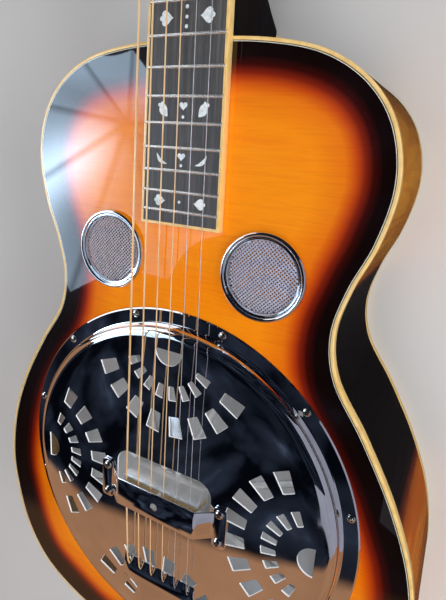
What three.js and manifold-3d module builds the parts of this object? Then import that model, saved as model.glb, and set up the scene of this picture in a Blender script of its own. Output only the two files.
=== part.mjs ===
// A square-neck resonator guitar, lying on its back. Millimetres: +X is the treble side, +Y runs
// towards the headstock and +Z out of the soundboard. The origin is on the flat back, straight
// under the saddle.
import * as THREE from "three";
import { mergeVertices } from "three/addons/utils/BufferGeometryUtils.js";
import Module from "manifold-3d";

const wasm = await Module();
wasm.setup();

// ---- Driving dimensions ----
const GAP = 0.3; // clearance between pieces that touch
const SCALE = 635; // nut to saddle
const FRETS = 19;
const TOP = 98; // outer face of the soundboard
const PLY = 3.4; // soundboard and back thickness
const SIDE = 3; // rim thickness
const BINDING = 2.6; // width of the edge bindings
const BINDING_DEPTH = 6;
const OUTLINE_STEPS = 80;
const LINING = 6; // width of the linings glued inside the rim
const LINING_TOP = 82; // lower edge of the top lining
const LINING_BACK = 15; // upper edge of the back lining
const NECK_BLOCK = { half: 38, start: 294, end: 330 };
const TAIL_BLOCK = { half: 34, start: -200, end: -156 };
const PIN_HEIGHT = 49; // strap button over the back
const PIN_SHANK = 3;
const BUTTON_SEAT = -180;
const BOLT_HEIGHT = 44;
const BOLT_RADIUS = 3;

const BODY_HALF = [
  [0, 317], [50, 315], [84, 308], [107, 295], [122, 278], [130, 258], [132, 236],
  [126, 206], [115, 178], [109, 150], [114, 123], [136, 89], [159, 48], [175, 6],
  [182, -40], [179, -70], [166, -114], [142, -147], [105, -167], [55, -178], [0, -180],
]; // right half of the body's outline, neck end first

const PLATE_Y = -2; // centre of the resonator and its coverplate
const PLATE_RADIUS = 143.8;
const PLATE_LINE = [[0, 13], [100, 13], [126, 8.4], [132, 3.4], [135, 1.5], [PLATE_RADIUS, 1.5]];
const WELL_RADIUS = 134.5;
const SHEET = 1.2; // chromed sheet of the coverplate and palm rest
const WELL = { inner: 125, outer: 139, ledge: TOP - 12, portRadius: 20, portHeight: 46 };
const CONE_SHEET = 0.8;
const CONE_RIM = WELL.ledge + GAP;
const CONE_LINE = [[133, 0.8], [125, 0.8], [90, -18], [60, -27], [42, -23], [22, -13], [0, -11]];
const SPIDER_LEGS = 8;
const BRIDGE = { half: 33, low: 98, back: 105, slot: 2.1, floor: 99, width: 5.5 };
const SADDLE = { inner: 3.2, outer: 32, half: 1.8, shoulder: 28.5, drop: 1.1 };
const SADDLE_Y = 1.5;
const SCREW_Y = -4.8; // the spider's tension screw, just behind the saddle
const OPENING = { halfWidth: 42, front: 27, back: -22, corner: 12 };
const FAN_RADIUS = 118; // plate centre to the middle of each fan
const MOON_RADIUS = 11.3;
const FAN_ANGLES = [-64, -45.7, -27.4, -9.1, 9.1, 27.4, 45.7, 64];
const FAN_ROWS = [
  { radius: 31.5, length: 11, near: 4.4, far: 6.6 },
  { radius: 57, length: 16, near: 8.6, far: 11.6 },
];

// The palm rest, a bridge of sheet over the saddle that is screwed down at four corners.
const REST = { back: -16, front: 6, flat: 34, ear: 45, end: 56, top: 24, foot: 15 };
const EAR = { half: 5.5, back: -22.5, front: 11.5 };
const PALM_SCREWS = [[-50, 6.5], [50, 6.5], [-50, -17.5], [50, -17.5]].map(([x, y]) => ({ x, y }));

const TAIL = { front: -70, back: -91, halfWidth: 33, arm: 17, waist: 12 };
const SCREEN = { x: 59.9, y: 177.4, outer: 29, mesh: 23.5, hole: 25.2 };

const STRINGS = 6;
const STRING_RADIUS = [0.72, 0.56, 0.44, 0.34, 0.24, 0.2]; // bass to treble
const SADDLE_SPACING = 11.3;
const TAIL_SPACING = 11.1;
const NUT_SPACING = 8.34;
const SADDLE_HEIGHT = 19.7; // string height over the soundboard at the saddle
const NUT_HEIGHT = 20.2;
const ANCHOR_Y = -80; // where the strings hook into the tailpiece
const ANCHOR_LIFT = 14.6; // string height over the soundboard as it leaves its hook

const BOARD_END = 202;
const BOARD_TOP = 6.07;
const BOARD_EDGE = 2; // width of the fretboard's binding
const NUT_HALF = 23.3;
const BOARD_TAPER = 0.0159;

const NECK_BACK = 62; // height of the neck's flat back
const HEEL_Y = 317.4;
const HEEL_FOOT = 5;
const HEEL_DEPTH = 22;
const HEEL_HALF = 17;
const HEAD_TILT = 13; // degrees
const HEAD_LENGTH = 178;
const HEAD_THICK = 18;
const HEAD_HALF = 34;
const HEAD_HINGE = { y: SCALE + 6, z: TOP };
const VENEER = 2; // black plate glued on the headstock's face
const SLOT = { inner: 7, outer: 22, start: 24, end: 152 };
const POST_Y = [44, 84, 124]; // string rollers, measured down the headstock
const POST_DROP = 9; // rollers below the headstock's face
const POST_STEP = 3.6; // each string winds this much further from the slot's edge
const ROLLER = 4.6;
const SPINDLE = 2.9;
const BORE = 3.4;

const GEAR_TEETH = 14;
const GEAR_PITCH = 6;
const GEAR_WIDTH = 3.4;
const WORM_PITCH = 3;
const WORM_LEAD = (2 * Math.PI * GEAR_PITCH) / GEAR_TEETH;
const WORM_TURNS = 2;
const GEAR_X = HEAD_HALF + 5.6; // middle of each gear
const WORM_OFFSET = GEAR_PITCH + WORM_PITCH;
const SHAFT_LOW = -28; // end of the worm's shaft, inside its button
const SIDE_PLATE = { thick: 1.2, start: POST_Y[0] - 14, end: POST_Y[2] + 22, low: -17, high: -1.5 };
const LUG = { half: 3.6, thick: 2.4, low: -POST_DROP - 7, high: -POST_DROP + 4.6 };
const BUTTON = { x: 8.5, z: 6.5, half: 3.5 };

// ---- Materials ----
const paint = (color, roughness, metalness) => () =>
  new THREE.MeshStandardMaterial({ color, roughness, metalness });
const sunburst = paint(0xc8651a, 0.15, 0);
const sideWood = paint(0x7a3c14, 0.15, 0);
const rawWood = paint(0xb98d5c, 0.7, 0);
const blackLacquer = paint(0x0c0806, 0.12, 0);
const ivory = paint(0xe6cf8e, 0.3, 0);
const ebony = paint(0x2b2521, 0.5, 0);
const bone = paint(0xeee4c8, 0.35, 0);
const chrome = paint(0xe8e8ea, 0.06, 1);
const aluminium = paint(0xb4b6b8, 0.35, 1);
const nickel = paint(0xcfcabc, 0.2, 1);
const bronze = paint(0xc9894a, 0.3, 1);
const steel = paint(0xbfc2c6, 0.2, 1);
const brass = paint(0xb89a52, 0.3, 1);

// ---- Geometry helpers ----
function signedVolume(geometry) {
  const p = geometry.attributes.position;
  const i = geometry.index;
  const a = new THREE.Vector3();
  const b = new THREE.Vector3();
  const c = new THREE.Vector3();
  let total = 0;
  for (let k = 0; k < i.count; k += 3) {
    a.fromBufferAttribute(p, i.getX(k));
    b.fromBufferAttribute(p, i.getX(k + 1));
    c.fromBufferAttribute(p, i.getX(k + 2));
    total += a.dot(b.cross(c));
  }
  return total;
}

// One welded shell whose faces point out.
function welded(geometry) {
  const bare = geometry.clone();
  bare.deleteAttribute("normal");
  bare.deleteAttribute("uv");
  const shell = mergeVertices(bare, 1e-4);
  const kept = [];
  for (let k = 0; k < shell.index.count; k += 3) {
    const t = [shell.index.getX(k), shell.index.getX(k + 1), shell.index.getX(k + 2)];
    if (t[0] !== t[1] && t[1] !== t[2] && t[2] !== t[0]) kept.push(...t);
  }
  shell.setIndex(kept);
  if (signedVolume(shell) < 0) shell.setIndex(kept.reverse());
  return shell;
}

function toSolid(geometry) {
  const shell = welded(geometry);
  const mesh = new wasm.Mesh({
    numProp: 3,
    vertProperties: new Float32Array(shell.attributes.position.array),
    triVerts: new Uint32Array(shell.index.array),
  });
  return new wasm.Manifold(mesh);
}

function toGeometry(solid) {
  const mesh = solid.getMesh();
  const geometry = new THREE.BufferGeometry();
  geometry.setAttribute("position", new THREE.BufferAttribute(new Float32Array(mesh.vertProperties), 3));
  geometry.setIndex(new THREE.BufferAttribute(new Uint32Array(mesh.triVerts), 1));
  return geometry;
}

const combine = (method) => (first, ...rest) =>
  toGeometry(rest.reduce((solid, next) => solid[method](toSolid(next)), toSolid(first)));
const join = combine("add");
const cut = combine("subtract");
const common = combine("intersect");

function box(x0, x1, y0, y1, z0, z1) {
  const geometry = new THREE.BoxGeometry(x1 - x0, y1 - y0, z1 - z0);
  return geometry.translate((x0 + x1) / 2, (y0 + y1) / 2, (z0 + z1) / 2);
}

// An upright prism over an outline in the XY plane.
function prism(shape, low, high, curveSegments = 8) {
  const settings = { depth: high - low, bevelEnabled: false, curveSegments };
  return new THREE.ExtrudeGeometry(shape, settings).translate(0, 0, low);
}

const shapeOf = (points) => new THREE.Shape(points.map(([x, y]) => new THREE.Vector2(x, y)));

// A side profile in (Y, Z) made `width` wide, centred on X = 0.
function sideProfile(shape, width) {
  const axes = new THREE.Matrix4().makeBasis(
    new THREE.Vector3(0, 1, 0),
    new THREE.Vector3(0, 0, 1),
    new THREE.Vector3(1, 0, 0),
  );
  return prism(shape, -width / 2, width / 2, 5).applyMatrix4(axes);
}

// An end profile in (X, Z) running from one Y to another.
function endProfile(shape, from, to) {
  return prism(shape, -to, -from).rotateX(Math.PI / 2);
}

// A turned piece about +Z from a closed profile of [radius, height] points.
function turned(points, segments) {
  const closed = [...points, points[0]].map(([r, z]) => new THREE.Vector2(r, z));
  return new THREE.LatheGeometry(closed, segments).rotateX(Math.PI / 2);
}

function rod(radius, low, high, segments = 12) {
  const geometry = new THREE.CylinderGeometry(radius, radius, high - low, segments);
  return geometry.rotateX(Math.PI / 2).translate(0, 0, (low + high) / 2);
}

function roundedRect(x0, x1, y0, y1, r) {
  const shape = new THREE.Shape();
  shape.moveTo(x0 + r, y0);
  shape.lineTo(x1 - r, y0);
  shape.absarc(x1 - r, y0 + r, r, -Math.PI / 2, 0);
  shape.lineTo(x1, y1 - r);
  shape.absarc(x1 - r, y1 - r, r, 0, Math.PI / 2);
  shape.lineTo(x0 + r, y1);
  shape.absarc(x0 + r, y1 - r, r, Math.PI / 2, Math.PI);
  shape.lineTo(x0, y0 + r);
  shape.absarc(x0 + r, y0 + r, r, Math.PI, Math.PI * 1.5);
  return shape;
}

// ---- Frame of the object ----
const guitar = new THREE.Group();
const head = new THREE.Group();
head.position.set(0, HEAD_HINGE.y, HEAD_HINGE.z);
head.rotation.x = THREE.MathUtils.degToRad(-HEAD_TILT);
head.updateMatrix();
guitar.add(head);

function place(parent, name, geometry, material) {
  const mesh = new THREE.Mesh(welded(geometry), material());
  mesh.name = name;
  parent.add(mesh);
  return mesh;
}

// ---- Body outline, drawn inset by any distance ----
function outlinePoints() {
  const right = BODY_HALF.map(([x, y]) => new THREE.Vector3(x, y, 0));
  const left = BODY_HALF.slice(1, -1).reverse().map(([x, y]) => new THREE.Vector3(-x, y, 0));
  const curve = new THREE.CatmullRomCurve3([...right, ...left], true, "centripetal");
  return curve.getSpacedPoints(OUTLINE_STEPS).slice(0, -1).reverse();
}

const bodyLine = outlinePoints();

function insetLine(distance) {
  const n = bodyLine.length;
  return bodyLine.map((p, i) => {
    const along = bodyLine[(i + 1) % n].clone().sub(bodyLine[(i + n - 1) % n]).normalize();
    return new THREE.Vector2(p.x - along.y * distance, p.y + along.x * distance);
  });
}

const bodyPrism = (inset, low, high) => prism(new THREE.Shape(insetLine(inset)), low, high);

function bodyRing(outer, inner, low, high) {
  const shape = new THREE.Shape(insetLine(outer));
  shape.holes.push(new THREE.Path(insetLine(inner)));
  return prism(shape, low, high);
}

// ---- Body ----
function soundboard() {
  const board = bodyPrism(BINDING + GAP, TOP - PLY, TOP);
  const well = rod(WELL_RADIUS, TOP - 10, TOP + 5, 48).translate(0, PLATE_Y, 0);
  const holes = [-1, 1].map((s) =>
    rod(SCREEN.hole, TOP - 10, TOP + 5, 24).translate(s * SCREEN.x, SCREEN.y, 0));
  return cut(board, well, ...holes);
}

function sideRim() {
  const rim = bodyRing(0, SIDE, BINDING_DEPTH + GAP, TOP - BINDING_DEPTH - GAP);
  return cut(rim, pinHole(), boltHole());
}

const liningInner = SIDE + GAP + LINING;
const topLining = () => bodyRing(SIDE + GAP, liningInner, LINING_TOP, TOP - PLY - GAP);
const backLining = () => bodyRing(SIDE + GAP, liningInner, PLY + GAP, LINING_BACK);

const alongX = (geometry) => geometry.rotateY(Math.PI / 2);
const alongY = (geometry) => geometry.rotateX(-Math.PI / 2);
const pinHole = () => alongY(rod(PIN_SHANK + GAP, -200, -150, 16)).translate(0, 0, PIN_HEIGHT);

const boltHole = () => alongY(rod(BOLT_RADIUS + GAP, 250, 350, 12)).translate(0, 0, BOLT_HEIGHT);

// A block inside one end of the rim, notched round the two linings.
function endBlock({ half, start, end }) {
  const blank = box(-half, half, start, end, PLY + GAP, TOP - PLY - GAP);
  const inside = common(blank, bodyPrism(SIDE + GAP, PLY + GAP, TOP - PLY - GAP));
  const notches = [
    bodyRing(0, liningInner + GAP, LINING_TOP - GAP, TOP),
    bodyRing(0, liningInner + GAP, 0, LINING_BACK + GAP),
  ];
  return cut(inside, ...notches);
}

// The plywood ring under the cone, with a ledge for the cone's rim and six round ports.
function soundWell() {
  const low = PLY + GAP;
  const high = TOP - PLY - GAP;
  const wall = turned([[WELL.inner, low], [WELL.outer, low], [WELL.outer, high], [WELL_RADIUS, high],
    [WELL_RADIUS, WELL.ledge], [WELL.inner, WELL.ledge]], 36);
  const port = alongY(rod(WELL.portRadius, 100, 160, 8)).translate(0, 0, WELL.portHeight);
  const ports = [30, 90, 150, 210, 270, 330].map((a) => port.clone().rotateZ(THREE.MathUtils.degToRad(a)));
  return cut(wall, ...ports).translate(0, PLATE_Y, 0);
}

// The spun cone: a shallow bowl with a raised middle, hung by its rim on the well's ledge.
function resonatorCone() {
  const lower = CONE_LINE.map(([r, z]) => [r, z - CONE_SHEET]).reverse();
  return turned([...CONE_LINE, ...lower], 36).translate(0, PLATE_Y, CONE_RIM);
}

// The cast spider: eight bent legs from a slotted bridge to feet on the cone's rim. The bridge is
// tall in front of the saddle and low behind it, where the tension screw goes down.
function spiderBridge() {
  const foot = CONE_RIM + CONE_SHEET + GAP;
  const leg = shapeOf([
    [8, 100.6], [30, 100.6], [122, 92], [129.5, 92], [129.5, foot], [123.5, foot], [120.5, 89.6],
    [30, 96], [8, 96],
  ]);
  const legs = [];
  for (let k = 0; k < SPIDER_LEGS; k += 1) {
    const turn = 22.5 + (360 / SPIDER_LEGS) * k;
    legs.push(sideProfile(leg, 5).rotateZ(THREE.MathUtils.degToRad(turn)));
  }
  const hub = turned([[0, 94], [15, 94], [15, 102], [0, 102]], 16);
  const { half, low, back, slot, floor, width } = BRIDGE;
  const middle = SADDLE_Y - PLATE_Y;
  const face = middle + slot;
  const bar = sideProfile(shapeOf([
    [middle - width, low], [middle - width, back], [middle, back], [face, 114.5], [face + 2, 114.5],
    [face + 4.6, 111], [face + 9, 101], [face + 9, low],
  ]), half * 2);
  const channel = box(-40, 40, middle - slot, face, floor, 120);
  const bore = rod(2.8, 80, 120, 12).translate(0, SCREW_Y - PLATE_Y, 0);
  return cut(join(hub, ...legs, bar), channel, bore).translate(0, PLATE_Y, 0);
}

// Half of the maple saddle, standing in the hub's slot with a rounded top.
function saddle(side) {
  const { inner, outer, half, shoulder, drop } = SADDLE;
  const foot = BRIDGE.floor + GAP;
  const crown = TOP + SADDLE_HEIGHT - drop;
  const shape = new THREE.Shape();
  shape.moveTo(side * inner, foot);
  shape.lineTo(side * outer, foot);
  shape.lineTo(side * outer, crown - 4);
  shape.quadraticCurveTo(side * outer, crown, side * shoulder, crown);
  shape.lineTo(side * inner, crown);
  return endProfile(shape, SADDLE_Y - half, SADDLE_Y + half);
}

function tensionScrew() {
  const shank = turned([[0, 77], [2.2, 77], [2.2, 105.3], [3, 105.3], [3, 107.6], [0, 107.6]], 12);
  const slot = box(-5, 5, -0.5, 0.5, 106.5, 110);
  return cut(shank, slot).translate(0, SCREW_Y, 0);
}

// ---- Coverplate ----
function trapezoid(row, angle) {
  const a = row.radius - row.length / 2;
  const b = row.radius + row.length / 2;
  const hole = prism(shapeOf([
    [a, -row.near / 2], [b, -row.far / 2], [b, row.far / 2], [a, row.near / 2],
  ]), TOP - 5, TOP + 20);
  return hole.rotateZ(THREE.MathUtils.degToRad(angle));
}

function fanHoles() {
  const holes = FAN_ROWS.flatMap((row) => FAN_ANGLES.map((angle) => trapezoid(row, angle)));
  const moon = new THREE.Shape();
  moon.absarc(0, 0, MOON_RADIUS, -Math.PI / 2, Math.PI / 2);
  holes.push(prism(moon, TOP - 5, TOP + 20, 7));
  return holes;
}

function coverplate() {
  const lower = PLATE_LINE.map(([r, z]) => [r, z - SHEET]).reverse();
  const dome = turned([...PLATE_LINE, ...lower], 48).translate(0, 0, TOP);
  const { halfWidth, front, back, corner } = OPENING;
  const cutters = [prism(roundedRect(-halfWidth, halfWidth, back, front, corner), TOP - 5, TOP + 20, 3)];
  for (let k = 0; k < 4; k += 1) {
    for (const hole of fanHoles()) {
      const placed = hole.rotateZ(Math.PI).translate(FAN_RADIUS, 0, 0);
      cutters.push(placed.rotateZ((k * Math.PI) / 2));
    }
  }
  for (const spot of PALM_SCREWS) {
    cutters.push(rod(1.7, TOP, TOP + 20, 8).translate(spot.x, spot.y - PLATE_Y, 0));
  }
  return cut(dome, ...cutters).translate(0, PLATE_Y, 0);
}

// ---- Palm rest ----
function palmRest() {
  const { flat, ear, end, top, foot } = REST;
  const over = [[-end, foot], [-ear, foot], [-flat, top], [flat, top], [ear, foot], [end, foot]];
  const under = over.map(([x, z], i) => [x * (i === 0 || i === 5 ? 1 : 0.975), z - SHEET]).reverse();
  const section = shapeOf([...over, ...under].map(([x, z]) => [x, TOP + z]));
  const strap = endProfile(section, REST.back, REST.front);
  const ears = [-1, 1].map((s) => {
    const x = s * (ear + end) / 2;
    return box(x - EAR.half, x + EAR.half, EAR.back, EAR.front, TOP + foot - SHEET, TOP + foot);
  });
  const holes = PALM_SCREWS.map(({ x, y }) => rod(1.7, TOP, TOP + 30, 8).translate(x, y, 0));
  const access = rod(3, TOP, TOP + 30, 12).translate(0, SCREW_Y, 0);
  return cut(join(strap, ...ears), ...holes, access);
}

function palmScrew({ x, y }) {
  const face = TOP + REST.foot + GAP;
  const profile = [[0, face - 8], [1.3, face - 8], [1.3, face], [3.2, face], [3, face + 1.2],
    [1.8, face + 2], [0, face + 2.2]];
  return turned(profile, 12).translate(x, y, 0);
}

// ---- Tailpiece and strap button ----
function tailpiece() {
  const side = shapeOf([
    [TAIL.front, TOP + 15.5], [-96, TOP + 15.5], [-134, TOP + 12.6], [-177, TOP + 5.6], [-183, TOP + 2],
    [-183, PIN_HEIGHT - 12], [-181, PIN_HEIGHT - 12], [-181, TOP + 1], [-176.6, TOP + 3.6],
    [-133.6, TOP + 11], [-95.8, TOP + 13.9], [TAIL.front, TOP + 13.9],
  ]);
  const plan = new THREE.Shape();
  plan.moveTo(-TAIL.halfWidth, TAIL.front);
  plan.lineTo(-TAIL.halfWidth, TAIL.back);
  plan.lineTo(-TAIL.arm - 4, TAIL.back - 1);
  plan.quadraticCurveTo(-TAIL.arm, TAIL.back - 2, -TAIL.arm, TAIL.back - 8);
  plan.lineTo(-TAIL.waist, -200);
  plan.lineTo(TAIL.waist, -200);
  plan.lineTo(TAIL.arm, TAIL.back - 8);
  plan.quadraticCurveTo(TAIL.arm, TAIL.back - 2, TAIL.arm + 4, TAIL.back - 1);
  plan.lineTo(TAIL.halfWidth, TAIL.back);
  plan.lineTo(TAIL.halfWidth, TAIL.front);
  const sheet = common(sideProfile(side, 80), prism(plan, 0, 200));
  const slots = eachString((k) => {
    const x = stringX(k, TAIL_SPACING);
    return box(x - 1.1, x + 1.1, ANCHOR_Y + 2, TAIL.front + 5, TOP, TOP + 30);
  });
  return cut(sheet, ...slots, pinHole());
}

function strapButton() {
  const profile = [[0, -15], [PIN_SHANK, -15], [PIN_SHANK, 3.3], [7.5, 3.3], [7.5, 4.6], [4.4, 7.5],
    [4.4, 10.5], [8, 13], [8, 15], [0, 15]];
  return turned(profile, 12).rotateX(Math.PI / 2).translate(0, BUTTON_SEAT, PIN_HEIGHT);
}

// ---- Screens ----
function screenRing() {
  const { outer, mesh, hole } = SCREEN;
  const profile = [[mesh, 94], [hole - GAP, 94], [hole - GAP, TOP + GAP], [outer, TOP + GAP],
    [outer - 0.6, TOP + 2.6], [outer - 2.8, TOP + 3.7], [mesh, TOP + 2]];
  return turned(profile, 24);
}

const screenMesh = () => turned([[0, 96.4], [SCREEN.mesh - GAP, 95], [SCREEN.mesh - GAP, 96],
  [0, 97.4]], 24);

// ---- Neck ----
const boardHalf = (y) => NUT_HALF + BOARD_TAPER * (SCALE - y);

function neckPlan(inset, from, to) {
  const a = boardHalf(from) - inset;
  const b = boardHalf(to) - inset;
  return shapeOf([[-a, from], [a, from], [b, to], [-b, to]]);
}

// The neck and its heel, with the slotted headstock joined on.
function neck() {
  const profile = new THREE.Shape();
  profile.moveTo(HEEL_Y, HEEL_FOOT);
  profile.lineTo(HEEL_Y + HEEL_DEPTH, HEEL_FOOT);
  profile.quadraticCurveTo(HEEL_Y + 26, NECK_BACK, HEEL_Y + 62, NECK_BACK);
  profile.lineTo(SCALE - 12, NECK_BACK);
  profile.quadraticCurveTo(SCALE - 2, NECK_BACK, SCALE + 6, NECK_BACK + 14);
  profile.lineTo(SCALE + 6, TOP);
  profile.lineTo(HEEL_Y, TOP);
  const blank = common(sideProfile(profile, 90), prism(neckPlan(0, HEEL_Y, SCALE + 6), 0, 200));
  const heel = shapeOf([
    [-60, 110], [-60, 66], [-28.4, 66], [-HEEL_HALF, HEEL_FOOT - 1],
    [HEEL_HALF, HEEL_FOOT - 1], [28.4, 66], [60, 66], [60, 110],
  ]);
  const shaft = common(blank, endProfile(heel, HEEL_Y - 1, SCALE + 20));
  return cut(join(shaft, headstock()), boltHole());
}

function headOutline() {
  const shape = new THREE.Shape();
  shape.moveTo(-NUT_HALF, -1);
  shape.lineTo(NUT_HALF, -1);
  shape.quadraticCurveTo(NUT_HALF + 3, 12, HEAD_HALF, 18);
  shape.lineTo(HEAD_HALF, HEAD_LENGTH - 10);
  shape.quadraticCurveTo(22, HEAD_LENGTH - 8, 14, HEAD_LENGTH);
  shape.quadraticCurveTo(0, HEAD_LENGTH - 8, -14, HEAD_LENGTH);
  shape.quadraticCurveTo(-22, HEAD_LENGTH - 8, -HEAD_HALF, HEAD_LENGTH - 10);
  shape.lineTo(-HEAD_HALF, 18);
  shape.quadraticCurveTo(-NUT_HALF - 3, 12, -NUT_HALF, -1);
  return shape;
}

const slotShapes = () => [[-SLOT.outer, -SLOT.inner], [SLOT.inner, SLOT.outer]].map(([a, b]) =>
  prism(roundedRect(a, b, SLOT.start, SLOT.end, 7), -40, 20, 3));

// The headstock in the guitar's frame, tilted back from the nut.
function headstock() {
  const plank = prism(headOutline(), -HEAD_THICK - VENEER - GAP, -VENEER - GAP, 3);
  const bores = POST_Y.map((y) => alongX(rod(BORE, -60, 60, 8)).translate(0, y, -POST_DROP));
  const centre = box(-SLOT.inner + 4, SLOT.inner - 4, 0, HEAD_LENGTH, -HEAD_THICK, -VENEER - GAP);
  const blank = join(cut(plank, ...slotShapes(), ...bores), centre);
  return common(blank, box(-60, 60, 0, 300, -60, 0)).applyMatrix4(head.matrix);
}

const headplate = () =>
  cut(prism(headOutline(), -VENEER, 0, 3), ...slotShapes(), box(-60, 60, -5, 3, -9, 9));

function fretboard() {
  const board = prism(neckPlan(BOARD_EDGE + GAP, BOARD_END + BOARD_EDGE + GAP, SCALE - 0.3),
    TOP + GAP, TOP + BOARD_TOP);
  const frets = [];
  for (let n = 1; n <= FRETS; n += 1) {
    const y = SCALE * 2 ** (-n / 12);
    const half = boardHalf(y) - BOARD_EDGE - 1.5;
    frets.push(box(-half, half, y - 1.1, y + 1.1, TOP + BOARD_TOP - 0.5, TOP + BOARD_TOP + 1.1));
  }
  return join(board, ...frets);
}

function fretboardBinding() {
  const outer = prism(neckPlan(0, BOARD_END, SCALE - 0.3), TOP + GAP, TOP + BOARD_TOP);
  const inner = prism(neckPlan(BOARD_EDGE, BOARD_END + BOARD_EDGE, SCALE + 20), TOP - 5, TOP + 20);
  return cut(outer, inner);
}

// The tall nut of a lap-played guitar, with a notch for each string.
function nut() {
  const blank = prism(neckPlan(0.2, SCALE, SCALE + 5.6), TOP + GAP, TOP + NUT_HEIGHT + 0.4);
  const notches = eachString((k) => {
    const x = stringX(k, NUT_SPACING);
    const r = STRING_RADIUS[k] + 0.2;
    return box(x - r, x + r, SCALE - 5, SCALE + 10, TOP + NUT_HEIGHT - STRING_RADIUS[k] - 0.5, TOP + 30);
  });
  return cut(blank, ...notches);
}

function heelCap() {
  const rear = HEEL_Y + HEEL_DEPTH;
  const plan = shapeOf([[-HEEL_HALF, HEEL_Y], [HEEL_HALF, HEEL_Y], [HEEL_HALF, rear], [-HEEL_HALF, rear]]);
  return prism(plan, HEEL_FOOT - 2.5, HEEL_FOOT - GAP);
}

function neckBolt() {
  const profile = [[0, 289], [5.5, 289], [5.5, 293], [BOLT_RADIUS, 293], [BOLT_RADIUS, 334], [0, 334]];
  return alongY(turned(profile, 12)).translate(0, 0, BOLT_HEIGHT);
}

// ---- Strings ----
const stringX = (k, spacing) => (k - (STRINGS - 1) / 2) * spacing;

function eachString(make) {
  return Array.from({ length: STRINGS }, (_, k) => make(k));
}

// A wire bent at each given point, with one ring of vertices at each bend.
class BentWire extends THREE.Curve {
  constructor(points) {
    super();
    this.points = points;
  }

  getPoint(t, target = new THREE.Vector3()) {
    const last = this.points.length - 1;
    const i = Math.min(Math.max(Math.floor(t * last), 0), last - 1);
    return target.lerpVectors(this.points[i], this.points[i + 1], t * last - i);
  }

  getUtoTmapping(u) {
    return u;
  }
}

// Each string's roller: three a side, the outer strings on the nearest rollers.
function postOf(k) {
  const side = k < 3 ? -1 : 1;
  const row = k < 3 ? k : STRINGS - 1 - k;
  return { side, y: POST_Y[row], x: side * (SLOT.inner + 3.5 + POST_STEP * (2 - row)) };
}

function string(k) {
  const r = STRING_RADIUS[k];
  const post = postOf(k);
  const wound = -POST_DROP + ROLLER + r + GAP;
  const end = new THREE.Vector3(post.x, post.y - 2, wound).applyMatrix4(head.matrix);
  const lift = r + 0.1;
  const route = [
    new THREE.Vector3(stringX(k, TAIL_SPACING), ANCHOR_Y + 3, TOP + ANCHOR_LIFT),
    new THREE.Vector3(stringX(k, TAIL_SPACING), ANCHOR_Y + 12, TOP + 16.3 + r),
    new THREE.Vector3(stringX(k, SADDLE_SPACING), SADDLE_Y - 2, TOP + SADDLE_HEIGHT - 0.9 + lift),
    new THREE.Vector3(stringX(k, SADDLE_SPACING), SADDLE_Y + 2, TOP + SADDLE_HEIGHT - 0.9 + lift),
    new THREE.Vector3(stringX(k, NUT_SPACING), SCALE - 0.4, TOP + NUT_HEIGHT),
    new THREE.Vector3(stringX(k, NUT_SPACING), SCALE + 6, TOP + NUT_HEIGHT - 0.1),
    end,
  ];
  const section = new THREE.Shape();
  section.absarc(0, 0, r, 0, Math.PI * 2);
  const settings = { steps: route.length - 1, bevelEnabled: false, curveSegments: 3,
    extrudePath: new BentWire(route) };
  return new THREE.ExtrudeGeometry(section, settings);
}

// ---- Tuning machines, in the headstock's own frame ----
function tunerPlate(side) {
  const { thick, start, end, low, high } = SIDE_PLATE;
  const x = side * (HEAD_HALF + GAP + thick / 2);
  const plate = box(x - thick / 2, x + thick / 2, start, end, low, high);
  const holes = POST_Y.map((y) => alongX(rod(BORE, -60, 60, 8)).translate(0, y, -POST_DROP));
  const lugs = [];
  for (const y of POST_Y) {
    for (const z of [LUG.low, LUG.high]) {
      const edges = [side * (HEAD_HALF + GAP), side * (GEAR_X + 2.8)].sort((a, b) => a - b);
      const worm = y + WORM_OFFSET;
      lugs.push(box(edges[0], edges[1], worm - LUG.half, worm + LUG.half, z, z + LUG.thick));
    }
  }
  const bores = POST_Y.map((y) => rod(2.2, -30, 5, 8).translate(side * GEAR_X, y + WORM_OFFSET, 0));
  return cut(join(plate, ...lugs), ...holes, ...bores);
}

// A roller lying across one slot, with its gear outside the side plate.
function stringRoller(k) {
  const { side, y } = postOf(k);
  const reach = [SLOT.inner + 0.6, SLOT.outer - 0.6];
  const barrel = alongX(rod(ROLLER, reach[0], reach[1], 12));
  const spindle = alongX(rod(SPINDLE, reach[0], GEAR_X - GEAR_WIDTH / 2 + 0.5, 12));
  const gear = alongX(gearBlank()).translate(GEAR_X, 0, 0);
  const whole = join(barrel, spindle, gear);
  return whole.rotateZ(side < 0 ? Math.PI : 0).translate(0, y, -POST_DROP);
}

function gearBlank() {
  const points = [];
  const step = (2 * Math.PI) / GEAR_TEETH;
  for (let k = 0; k < GEAR_TEETH; k += 1) {
    const middle = (k + 0.5) * step; // teeth straddle the line to the worm, so a space faces it
    for (const [radius, offset] of [[4.9, -0.3], [6.5, -0.12], [6.5, 0.12], [4.9, 0.3]]) {
      const a = middle + offset * step;
      points.push([radius * Math.cos(a), radius * Math.sin(a)]);
    }
  }
  const quarter = Math.PI / 2;
  return prism(shapeOf(points), -GEAR_WIDTH / 2, GEAR_WIDTH / 2).rotateZ(quarter);
}

// The worm's thread, once round in each lead.
class Helix extends THREE.Curve {
  getPoint(t, target = new THREE.Vector3()) {
    const turn = (t - 0.5) * WORM_TURNS;
    const a = turn * 2 * Math.PI;
    return target.set(2.85 * Math.cos(a), 2.85 * Math.sin(a), turn * WORM_LEAD);
  }
}

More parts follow.
